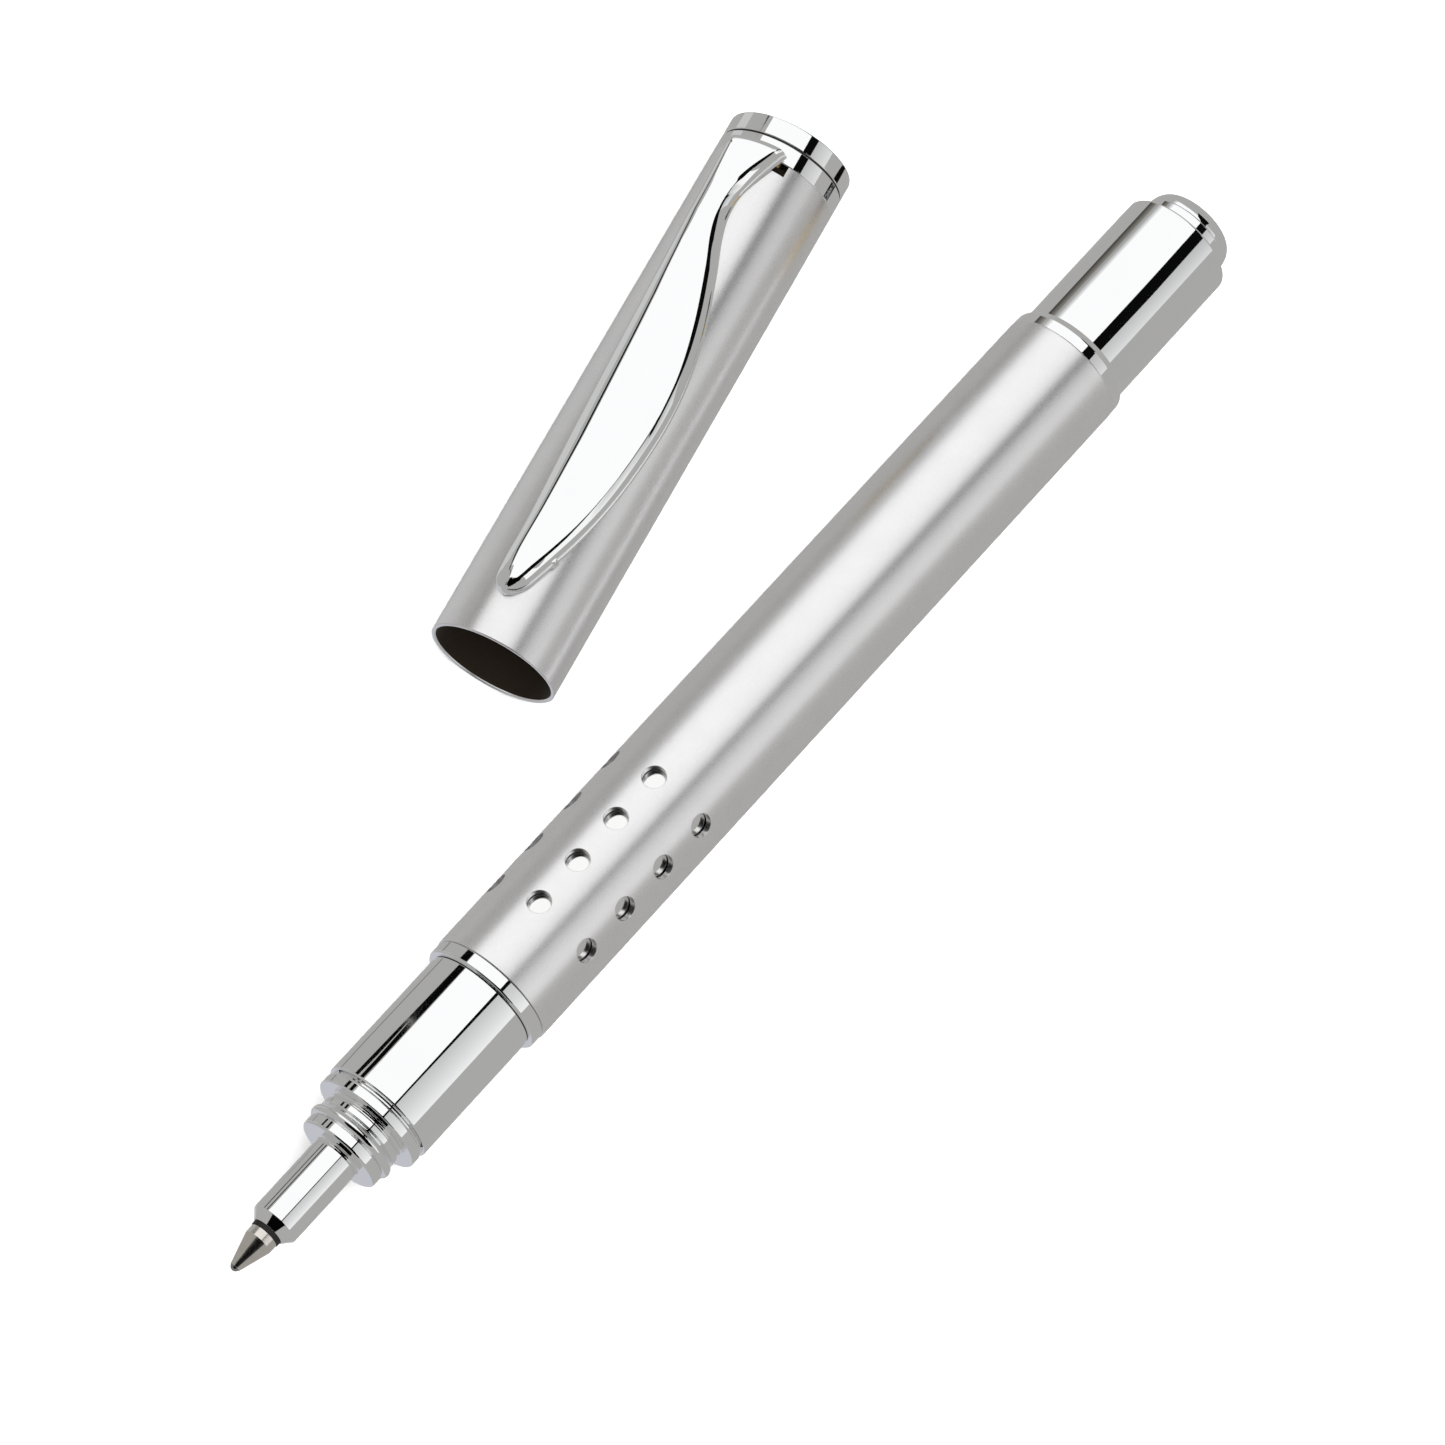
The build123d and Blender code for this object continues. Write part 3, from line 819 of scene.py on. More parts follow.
@dataclass
class GripSection:
    """The part that the fingers hold: the nose with its rings, and the plain sleeve."""

    workshop: Workshop
    nose_front: float = 4.18
    nose_front_radius: float = 1.39
    nose_bore: float = 1.345
    nose_chamfer_end: float = 5.0
    nose_radius: float = 2.07
    nose_bore_end: float = 5.5
    inner_start: float = 6.0
    inner_radius: float = 1.80
    ring_start: float = 12.45
    ring_end: float = 13.50
    ring_radius: float = 3.66
    groove_radius: float = 3.42
    bead_peak: float = 14.0
    bead_radius: float = 3.97
    bead_end: float = 14.72
    band_end: float = 15.33
    band_radius: float = 3.65
    neck_end: float = 15.83
    neck_radius: float = 3.50
    flange_end: float = 16.68
    flange_radius: float = 4.81
    flange_groove_end: float = 17.16
    flange_groove_radius: float = 4.68
    groove_slope: float = 0.16
    spigot_root_radius: float = 4.3
    spigot_radius: float = 4.0
    spigot_end: float = 22.0
    refill_bore: float = 3.15
    sleeve_radius: float = 4.92
    sleeve_end: float = 29.55
    tenon_radius: float = 4.60
    tenon_end: float = 33.9
    seal_station: float = 31.7
    seal_half: float = 0.40
    seal_groove_radius: float = 3.82
    thread_radius: float = 3.70
    thread_end: float = 39.5

    def bead(self, steps: int = 12) -> list[OutlinePoint]:
        """The raised round bead, as an arc of its outline.

        Args:
            steps: How many pieces the arc has.

        Returns:
            The arc's points, front to back.
        """
        front = np.array([self.ring_end, self.groove_radius])
        peak = np.array([self.bead_peak, self.bead_radius])
        back = np.array([self.bead_end, self.groove_radius])
        pull = 2 * peak - (front + back) / 2
        shares = np.linspace(0.0, 1.0, steps + 1)
        curve = [(1 - t) ** 2 * front + 2 * t * (1 - t) * pull + t**2 * back for t in shares]
        return [(float(p[0]), float(p[1])) for p in curve]

    def nose_outline(self) -> list[OutlinePoint]:
        """The nose, its front ring, bead, band and flange, and the bore for the refill."""
        groove_back = self.flange_groove_end - self.groove_slope
        return [
            (self.nose_front, self.nose_bore),
            (self.nose_front, self.nose_front_radius, CRISP),
            (self.nose_chamfer_end, self.nose_radius, SOFT),
            (self.ring_start, self.nose_radius, 0.22),
            (self.ring_start, self.ring_radius, 0.24),
            (self.ring_end - 0.02, self.ring_radius, SOFT),
            *self.bead(),
            (self.bead_end + 0.05, self.band_radius, SOFT),
            (self.band_end, self.band_radius, SMALL),
            (self.band_end + 0.06, self.neck_radius, EASED),
            (self.neck_end, self.neck_radius, 0.24),
            (self.neck_end, self.flange_radius, 0.13),
            (self.flange_end, self.flange_radius, 0.16),
            (self.flange_end + self.groove_slope, self.flange_groove_radius, EASED),
            (groove_back, self.flange_groove_radius, EASED),
            (groove_back, self.spigot_root_radius),
            (self.flange_groove_end, self.spigot_root_radius),
            (self.flange_groove_end, self.spigot_radius),
            (self.spigot_end, self.spigot_radius),
            (self.spigot_end, self.refill_bore),
            (self.ring_end, self.refill_bore),
            (self.ring_end, self.inner_radius),
            (self.inner_start, self.inner_radius),
            (self.nose_bore_end, self.nose_bore),
        ]

    def sleeve_outline(self) -> list[OutlinePoint]:
        """The plain sleeve with its tenon, seal groove and thread."""
        seal_front = self.seal_station - self.seal_half
        seal_back = self.seal_station + self.seal_half
        return [
            (self.flange_groove_end, self.spigot_radius),
            (self.flange_groove_end, self.sleeve_radius, 0.16),
            (self.sleeve_end, self.sleeve_radius, EASED),
            (self.sleeve_end, self.tenon_radius),
            (seal_front, self.tenon_radius),
            (seal_front, self.seal_groove_radius),
            (seal_back, self.seal_groove_radius),
            (seal_back, self.tenon_radius),
            (self.tenon_end, self.tenon_radius, SOFT),
            (self.tenon_end, self.thread_radius),
            (self.thread_end, self.thread_radius, 0.3),
            (self.thread_end, self.refill_bore),
            (self.spigot_end, self.refill_bore),
            (self.spigot_end, self.spigot_radius),
        ]

    def build(self) -> None:
        """Builds the nose and the sleeve, and dresses the seal."""
        axis, shop = self.workshop.pen_axis(), self.workshop
        nose = turned("ringed_nose", axis, self.nose_outline())
        shop.finish_piece(nose, "section", PEN_CHROME, ["nose_piece"])
        sleeve = turned("grip_sleeve", axis, self.sleeve_outline())
        shop.finish_piece(sleeve, "section", PEN_CHROME, ["section_sleeve"])
        shop.dress_node("section_seal", SEAL_RUBBER)


# --------------------------------------------------------------------------- the barrel


@dataclass
class PerforatedTube:
    """A thin tube with rows of round holes near its front, as one closed skin."""

    axis: TurningAxis
    start: float
    end: float
    radius: float
    wall: float
    hole_radius: float
    hole_stations: tuple[float, ...]
    rows: int
    first_angle: float
    edge_rounding: float = 0.06
    rim_rounding: float = 0.05
    cell_steps: int = 16
    cell_rings: tuple[float, ...] = (1.0, 0.62, 0.34, 0.15, 0.05, 0.0)
    back_rings: int = 12

    def pitch(self) -> float:
        """The distance between holes in a row."""
        return self.hole_stations[1] - self.hole_stations[0]

    def walls(self) -> tuple[tuple[float, float], tuple[float, float]]:
        """The radius of the outer and of the inner face, each with the side that it faces."""
        return (self.radius, 1.0), (self.radius - self.wall, -1.0)

    def edge_steps(self) -> list[tuple[float, float, float]]:
        """The steps round the two rounded edges between the outer and the inner face.

        Returns:
            For each step its face's radius, the side that this faces and the lean in radians.
        """
        leans = [math.radians(degrees) for degrees in EDGE_LEANS]
        return [
            (radius, sign, lean)
            for radius, sign in self.walls()
            for lean in (leans if sign > 0 else leans[::-1])
        ]

    def spokes(self) -> np.ndarray:
        """The directions out from the axis at which the plain lengths have their vertices."""
        count = self.rows * self.cell_steps
        angles = math.radians(self.first_angle) + np.arange(count) * 2 * math.pi / count
        angles = angles - math.pi / self.rows
        return np.stack([np.zeros(count), np.sin(angles), np.cos(angles)], axis=1)

    def cell_border(self) -> np.ndarray:
        """The edge of the piece of tube round one hole.

        Returns:
            Rows of distance along from the hole and angle round from it.
        """
        half, spread, steps = self.pitch() / 2, math.pi / self.rows, self.cell_steps
        shares = np.arange(steps) / steps * 2 - 1
        ones = np.ones(steps)
        sides = [
            np.stack([shares * half, -ones * spread], axis=1),
            np.stack([ones * half, shares * spread], axis=1),
            np.stack([-shares * half, ones * spread], axis=1),
            np.stack([-ones * half, -shares * spread], axis=1),
        ]
        return np.concatenate(sides)

    def place_cell(
        self, skin: Skin, local: np.ndarray, normal: np.ndarray, station: float, angle: float
    ) -> np.ndarray:
        """Adds one ring of a cell to the skin.

        Args:
            skin: The skin that is being built.
            local: Points as rows of distance along, sideways and out, for a hole that faces up.
            normal: The surface's direction at each point, in the same way.
            station: The hole's station.
            angle: The hole's angle round the tube, in radians.

        Returns:
            The new vertices' indices.
        """
        cosine, sine = math.cos(angle), math.sin(angle)
        turn = np.array([[1, 0, 0], [0, cosine, -sine], [0, sine, cosine]])
        placed = local @ turn + np.array([station, 0.0, 0.0])
        return skin.row(self.axis.place(placed), self.axis.turn(normal @ turn))

    def surface_rings(
        self, skin: Skin, radius: float, sign: float, station: float, angle: float
    ) -> np.ndarray:
        """Covers a cell's outer or inner face, from its border to the hole's rim.

        Args:
            skin: The skin that is being built.
            radius: The face's radius.
            sign: 1 for the outer face and -1 for the inner one.
            station: The hole's station.
            angle: The hole's angle.

        Returns:
            The indices of the ring at the rim.
        """
        border = self.cell_border()
        heading = np.arctan2(border[:, 1] * radius, border[:, 0])
        rim = self.hole_radius + self.rim_rounding
        hole = np.stack([np.cos(heading) * rim, np.arcsin(np.sin(heading) * rim / radius)], axis=1)
        previous = None
        for share in self.cell_rings:
            ring = hole + (border - hole) * share
            normal = np.stack([np.zeros(len(ring)), np.sin(ring[:, 1]), np.cos(ring[:, 1])], axis=1)
            local = normal * radius
            local[:, 0] = ring[:, 0]
            row = self.place_cell(skin, local, normal * sign, station, angle)
            if previous is not None:
                pair = (previous, row) if sign > 0 else (row, previous)
                skin.bridge(*pair)
            previous = row
        return previous

    def hole_wall(
        self, skin: Skin, outer: np.ndarray, inner: np.ndarray, station: float, angle: float
    ) -> None:
        """Joins the outer rim to the inner rim through the wall, with both rims rounded.

        Args:
            skin: The skin that is being built.
            outer: The outer rim's indices.
            inner: The inner rim's indices.
            station: The hole's station.
            angle: The hole's angle.
        """
        border = self.cell_border()
        previous = outer
        for radius, sign, lean in self.edge_steps():
            heading = np.arctan2(border[:, 1] * radius, border[:, 0])
            reach = self.hole_radius + self.rim_rounding * (1 - math.sin(lean))
            depth = self.rim_rounding * (1 - math.cos(lean))
            along, across = np.cos(heading) * reach, np.sin(heading) * reach
            height = np.sqrt(radius**2 - across**2) - sign * depth
            local = np.stack([along, across, height], axis=1)
            none = np.zeros(len(across))
            outwards = np.stack([none, across / radius, height / radius], axis=1)
            inwards = np.stack([-np.cos(heading), -np.sin(heading), none], axis=1)
            normal = outwards * sign * math.cos(lean) + inwards * math.sin(lean)
            row = self.place_cell(skin, local, normal, station, angle)
            skin.bridge(previous, row)
            previous = row
        skin.bridge(previous, inner)

    def plain_rings(
        self, skin: Skin, stations: Sequence[float], radius: float, sign: float
    ) -> np.ndarray:
        """Covers a plain length of the tube's outer or inner face.

        Args:
            skin: The skin that is being built.
            stations: The rings' stations.
            radius: The face's radius.
            sign: 1 for the outer face and -1 for the inner one.

        Returns:
            The first and the last ring's indices.
        """
        normal = self.spokes()
        rows = []
        for station in stations:
            local = normal * radius + np.array([station, 0.0, 0.0])
            rows.append(skin.row(self.axis.place(local), self.axis.turn(normal * sign)))
            if len(rows) > 1:
                pair = (rows[-1], rows[-2]) if sign > 0 else (rows[-2], rows[-1])
                skin.bridge(*pair)
        return np.stack([rows[0], rows[-1]])

    def end_edge(self, skin: Skin, outer: np.ndarray, inner: np.ndarray, facing: float) -> None:
        """Closes an end of the tube with a flat edge between two rounded ones.

        Args:
            skin: The skin that is being built.
            outer: The outer face's last ring.
            inner: The inner face's last ring.
            facing: -1 at the front end and 1 at the back.
        """
        spokes = self.spokes()
        edge = self.start if facing < 0 else self.end
        previous = outer
        for radius, sign, lean in self.edge_steps():
            reach = radius - sign * self.edge_rounding * (1 - math.cos(lean))
            station = edge - facing * self.edge_rounding * (1 - math.sin(lean))
            local = spokes * reach + np.array([station, 0.0, 0.0])
            normal = spokes * sign * math.cos(lean) + np.array([facing * math.sin(lean), 0, 0])
            row = skin.row(self.axis.place(local), self.axis.turn(normal))
            pair = (previous, row) if facing < 0 else (row, previous)
            skin.bridge(*pair)
            previous = row
        pair = (previous, inner) if facing < 0 else (inner, previous)
        skin.bridge(*pair)

    def build(self, name: str) -> bpy.types.Object:
        """Builds the whole tube.

        Args:
            name: The piece's name.

        Returns:
            The piece.
        """
        skin = Skin()
        first = self.hole_stations[0] - self.pitch() / 2
        last = self.hole_stations[-1] + self.pitch() / 2
        front = [self.start + self.edge_rounding, first]
        back = [*np.linspace(last, self.end - self.edge_rounding, self.back_rings)]
        ends = {}
        for radius, sign in self.walls():
            ends["front", sign] = self.plain_rings(skin, front, radius, sign)[0]
            ends["back", sign] = self.plain_rings(skin, back, radius, sign)[1]
        self.end_edge(skin, ends["front", 1.0], ends["front", -1.0], -1.0)
        self.end_edge(skin, ends["back", 1.0], ends["back", -1.0], 1.0)
        for station in self.hole_stations:
            for row in range(self.rows):
                angle = math.radians(self.first_angle + row * 360 / self.rows)
                outer, inner = (
                    self.surface_rings(skin, radius, sign, station, angle)
                    for radius, sign in self.walls()
                )
                self.hole_wall(skin, outer, inner, station, angle)
        return skin.build(name)


@dataclass
class Barrel:
    """The satin barrel with its holes, its bright liner and the chrome ring at each end."""

    workshop: Workshop
    trim_start: float = 29.60
    trim_front_radius: float = 5.10
    trim_radius: float = 5.40
    trim_rounding: float = 0.34
    trim_bore: float = 4.65
    skirt_end: float = 34.0
    start: float = 30.85
    end: float = 103.35
    wall: float = 0.60
    hole_radius: float = 1.0
    hole_stations: tuple[float, ...] = (37.3, 42.0, 46.7, 51.4)
    hole_rows: int = 6
    hole_first_angle: float = 22.9
    liner_start: float = 35.0
    liner_end: float = 101.0
    liner_radius: float = 4.80
    liner_wall: float = 0.40
    rear_trim_shoulder: float = 104.35
    rear_trim_end: float = 104.90
    rear_trim_back_radius: float = 5.06
    rear_trim_bore: float = 4.60

    def radius(self) -> float:
        """The barrel's outer radius, from the CAD model."""
        low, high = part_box("barrel_tube")
        return (high.z - low.z) / 2 / MM

    def front_trim_outline(self) -> list[OutlinePoint]:
        """The chrome ring in front of the barrel, with the skirt that goes into it."""
        bore = self.radius() - self.wall
        return [
            (self.trim_start, self.trim_bore),
            (self.trim_start, self.trim_front_radius - 0.1),
            (self.trim_start + 0.02, self.trim_radius, self.trim_rounding),
            (self.start - 0.02, self.trim_radius, 0.14),
            (self.start, self.trim_radius - 0.14),
            (self.start, bore),
            (self.skirt_end, bore, SOFT),
            (self.skirt_end, self.trim_bore),
        ]

    def rear_trim_outline(self) -> list[OutlinePoint]:
        """The chrome ring behind the barrel."""
        outer = self.radius()
        return [
            (self.end, self.rear_trim_bore),
            (self.end, outer - 0.02, 0.04),
            (self.rear_trim_shoulder, outer - 0.05, 0.5),
            (self.rear_trim_end, self.rear_trim_back_radius + 0.06, 0.12),
            (self.rear_trim_end, self.rear_trim_back_radius),
            (self.rear_trim_end, self.rear_trim_bore),
        ]

    def liner_outline(self) -> list[OutlinePoint]:
        """The bright tube that shows through the holes."""
        inner = self.liner_radius - self.liner_wall
        return [
            (self.liner_start, inner),
            (self.liner_start, self.liner_radius, EASED),
            (self.liner_end, self.liner_radius, EASED),
            (self.liner_end, inner),
        ]

    def build(self) -> None:
        """Builds the tube, the liner and the trim rings, and dresses the bushes."""
        axis, shop = self.workshop.pen_axis(), self.workshop
        tube = PerforatedTube(
            axis,
            self.start,
            self.end,
            self.radius(),
            self.wall,
            self.hole_radius,
            self.hole_stations,
            self.hole_rows,
            self.hole_first_angle,
        ).build("satin_barrel_tube")
        shop.finish_piece(tube, "barrel", BARREL_SATIN, ["barrel_tube"])
        liner = turned("bright_liner", axis, self.liner_outline())
        shop.finish_piece(liner, "barrel", LINER_TUBE, ["barrel_liner"])
        front = turned("front_trim", axis, self.front_trim_outline())
        shop.finish_piece(front, "barrel", PEN_CHROME, ["front_trim_ring"])
        rear = turned("rear_trim", axis, self.rear_trim_outline())
        shop.finish_piece(rear, "barrel", PEN_CHROME, ["rear_trim_ring"])
        shop.keep_unmirrored(rear)
        shop.dress_node("front_bush", TURNED_BRASS)
        shop.dress_node("rear_bush", TURNED_BRASS)


@dataclass
class Tail:
    """The chrome tail that the cap posts on, with the round button at its end."""

    workshop: Workshop
    start: float = 103.35
    trim_end: float = 104.90
    trim_bore: float = 4.60
    stud_radius: float = 3.90
    radius: float = 5.0
    end: float = 118.9
    end_rounding: float = 0.20
    seat_end: float = 117.0
    stem_radius: float = 1.75
    button_radius: float = 4.0
    button_end: float = 121.5
    button_collar_end: float = 120.02
    button_flat_radius: float = 2.9

    def sleeve_outline(self) -> list[OutlinePoint]:
        """The tail's sleeve."""
        return [
            (self.start, self.stud_radius),
            (self.start, self.trim_bore),
            (self.trim_end, self.trim_bore),
            (self.trim_end, self.radius, CRISP),
            (self.end, self.radius, self.end_rounding),
            (self.end, self.stem_radius),
            (self.seat_end, self.stem_radius),
            (self.seat_end, self.stud_radius),
        ]

    def button_outline(self) -> list[OutlinePoint]:
        """The button and its stem."""
        return [
            (self.seat_end - 0.4, 0.0),
            (self.seat_end - 0.4, self.stem_radius),
            (self.end, self.stem_radius),
            (self.end, self.button_radius, EASED),
            (self.button_collar_end - 0.05, self.button_radius),
            (self.button_collar_end, self.button_radius - 0.05),
            (self.button_collar_end + 0.03, self.button_radius - 0.01),
            *self.button_crown(),
            (self.button_end, 0.0),
        ]

    def button_crown(self, steps: int = 16) -> list[OutlinePoint]:
        """The button's full rounded shoulder.

        Args:
            steps: How many pieces the shoulder has.

        Returns:
            The shoulder's points, from its side to its flat end.
        """
        reach = self.button_end - self.button_collar_end - 0.03
        drop = self.button_radius - self.button_flat_radius
        points = []
        for i in range(1, steps + 1):
            turn = math.pi / 2 * i / steps
            station = self.button_end - reach * (1 - math.sin(turn))
            radius = self.button_flat_radius + drop * math.cos(turn)
            points.append((station, radius - 0.01 * (1 - i / steps), 0.0))
        return points

    def build(self) -> None:
        """Builds the sleeve and the button, and dresses the spring's seat."""
        axis, shop = self.workshop.pen_axis(), self.workshop
        sleeve = turned("tail_sleeve_skin", axis, self.sleeve_outline())
        shop.finish_piece(sleeve, "barrel", PEN_CHROME, ["tail_sleeve"])
        button = turned("tail_button_skin", axis, self.button_outline())
        shop.finish_piece(button, "barrel", PEN_CHROME, ["tail_button"])
        shop.keep_unmirrored(sleeve, button)
        shop.dress_node("spring_seat", DARK_PLASTIC)


# ------------------------------------------------------------------------------ the cap


@dataclass
class Cap:
    """The satin cap: its tube, the dark turned liner in its mouth, the clip ring and the crown."""

    workshop: Workshop
    mouth_radius: float = 5.585
    crown_end_radius: float = 5.545
    length: float = 47.7
    wall: float = 0.315
    liner_start: float = 2.0
    liner_radius: float = 5.10
    liner_end: float = 13.5
    lining: float = 0.05
    lining_start: float = 0.15
    inner_bore: float = 4.05
    inner_floor: float = 30.6
    inner_end: float = 32.4
    stud_radius: float = 1.75
    ring_radius: float = 5.55
    ring_end: float = 49.35
    washer_radius: float = 5.44
    washer_end: float = 49.5
    crown_end: float = 51.25
    crown_rounding: float = 0.14
    stud_end: float = 50.2
    slot_depth: float = 1.0
    slot_width: float = 1.2
    slot_side: float = -2.3
    clip_tilt: float = CLIP_TILT
    ridge_pitch: float = 0.42
    ridge_depth: float = 0.02
    ridge_margin: float = 0.3
    cut_steps: int = 8

    def tube(self, axis: TurningAxis, segments: int = 224) -> bpy.types.Object:
        """Builds the cap's tube, with the slot beside the clip's root cut into its back edge.

        Args:
            axis: The cap's axis.
            segments: How many steps there are round it.

        Returns:
            The piece.
        """
        bore = self.mouth_radius - self.wall
        outlines = {}
        for cut in (False, True):
            end = self.length - (self.slot_depth if cut else 0.0)
            outlines[cut] = rounded_outline(
                [
                    (0.0, bore, SOFT),
                    (0.0, self.mouth_radius, SOFT),
                    (end, self.crown_end_radius, CRISP),
                    (end, bore, CRISP),
                ]
            )
        middle = self.slot_side / self.mouth_radius
        half = self.slot_width / 2 / self.mouth_radius
        lean = math.radians(self.clip_tilt)
        low, high = lean + middle - half, lean + middle + half
        plain = np.linspace(high, low + 2 * math.pi, segments - self.cut_steps + 1)
        slot = np.linspace(low, high, self.cut_steps + 1)
        columns = [(a, False) for a in plain] + [(a, True) for a in slot]
        skin = Skin()
        rows = []
        for angle, cut in columns:
            profile, outward = outlines[cut]
            spoke = np.array([0.0, math.sin(angle), math.cos(angle)])
            forward = np.array([1.0, 0.0, 0.0])
            local = profile[:, :1] * forward + profile[:, 1:] * spoke
            normal = outward[:, :1] * forward + outward[:, 1:] * spoke
            rows.append(skin.row(axis.place(local), axis.turn(normal)))
        for i, first in enumerate(rows):
            skin.bridge(first, rows[(i + 1) % len(rows)])
        return skin.build("satin_cap_tube")

    def liner_outline(self) -> list[OutlinePoint]:
        """The liner, with the fine rings that the turning tool left in its bore."""
        bore = self.mouth_radius - self.wall
        ridges = []
        ridged = self.liner_end - self.liner_start - 2 * self.ridge_margin
        count = int(ridged / self.ridge_pitch)
        for i in range(count):
            station = self.liner_end - self.ridge_margin - i * self.ridge_pitch
            ridges.append((station, self.liner_radius))
            ridges.append((station - self.ridge_pitch / 2, self.liner_radius + self.ridge_depth))
        return [
            (self.liner_start, self.liner_radius + 0.1),
            (self.liner_start, bore - self.lining),
            (self.lining_start, bore - self.lining),
            (self.lining_start, bore),
            (self.liner_end, bore),
            (self.liner_end, self.liner_radius),
            *ridges,
        ]

    def inner_outline(self) -> list[OutlinePoint]:
        """The inner cap that closes over the section."""
        bore = self.mouth_radius - self.wall
        return [
            (self.liner_end, self.inner_bore + 0.5, EASED),
            (self.liner_end, bore),
            (self.inner_end, bore),
            (self.inner_end, 0.0),
            (self.inner_floor, 0.0),
            (self.inner_floor, self.inner_bore),
            (self.liner_end + 0.5, self.inner_bore, EASED),
        ]

    def ring_outline(self) -> list[OutlinePoint]:
        """The chrome ring that the clip is fixed under."""
        return [
            (self.length, self.stud_radius),
            (self.length, self.ring_radius, SMALL),
            (self.ring_end, self.ring_radius, SMALL),
            (self.ring_end, self.stud_radius),
        ]

    def washer_outline(self) -> list[OutlinePoint]:
        """The thin washer that leaves a dark line under the crown."""
        return [
            (self.ring_end, self.stud_radius),
            (self.ring_end, self.washer_radius),
            (self.washer_end, self.washer_radius),
            (self.washer_end, self.stud_radius),
        ]

    def crown_outline(self) -> list[OutlinePoint]:
        """The crown that closes the cap."""
        return [
            (self.washer_end, self.stud_radius),
            (self.washer_end, self.ring_radius, SMALL),
            (self.crown_end, self.ring_radius, self.crown_rounding),
            (self.crown_end, 0.0),
            (self.stud_end, 0.0),
            (self.stud_end, self.stud_radius),
        ]

    def build(self) -> None:
        """Builds the cap's pieces and dresses the ones that are hidden inside."""
        axis, shop = self.workshop.cap_axis(), self.workshop
        tube = shop.finish_piece(self.tube(axis), "cap", CAP_SATIN, ["cap_tube"])
        liner = turned("turned_cap_liner", axis, self.liner_outline(), 160)
        shop.finish_piece(liner, "cap", DARK_LACQUER, ["cap_liner"])
        inner = turned("inner_cap_cup", axis, self.inner_outline(), 160)
        shop.finish_piece(inner, "cap", DARK_PLASTIC, ["inner_cap"])
        shop.keep_unmirrored(tube, liner, inner, shop.frame["nodes"]["cap_plug"])
        ring = turned("clip_ring_skin", axis, self.ring_outline())
        shop.finish_piece(ring, "cap", CAP_CHROME, ["clip_ring"])
        washer = turned("crown_washer_skin", axis, self.washer_outline(), 160)
        shop.finish_piece(washer, "cap", DARK_PLASTIC, ["crown_washer"])
        crown = turned("crown_skin", axis, self.crown_outline())
        shop.finish_piece(crown, "cap", CAP_CHROME, ["crown"])
        shop.dress_node("cap_plug", DARK_LACQUER)
        shop.dress_node("crown_stud", TURNED_BRASS)


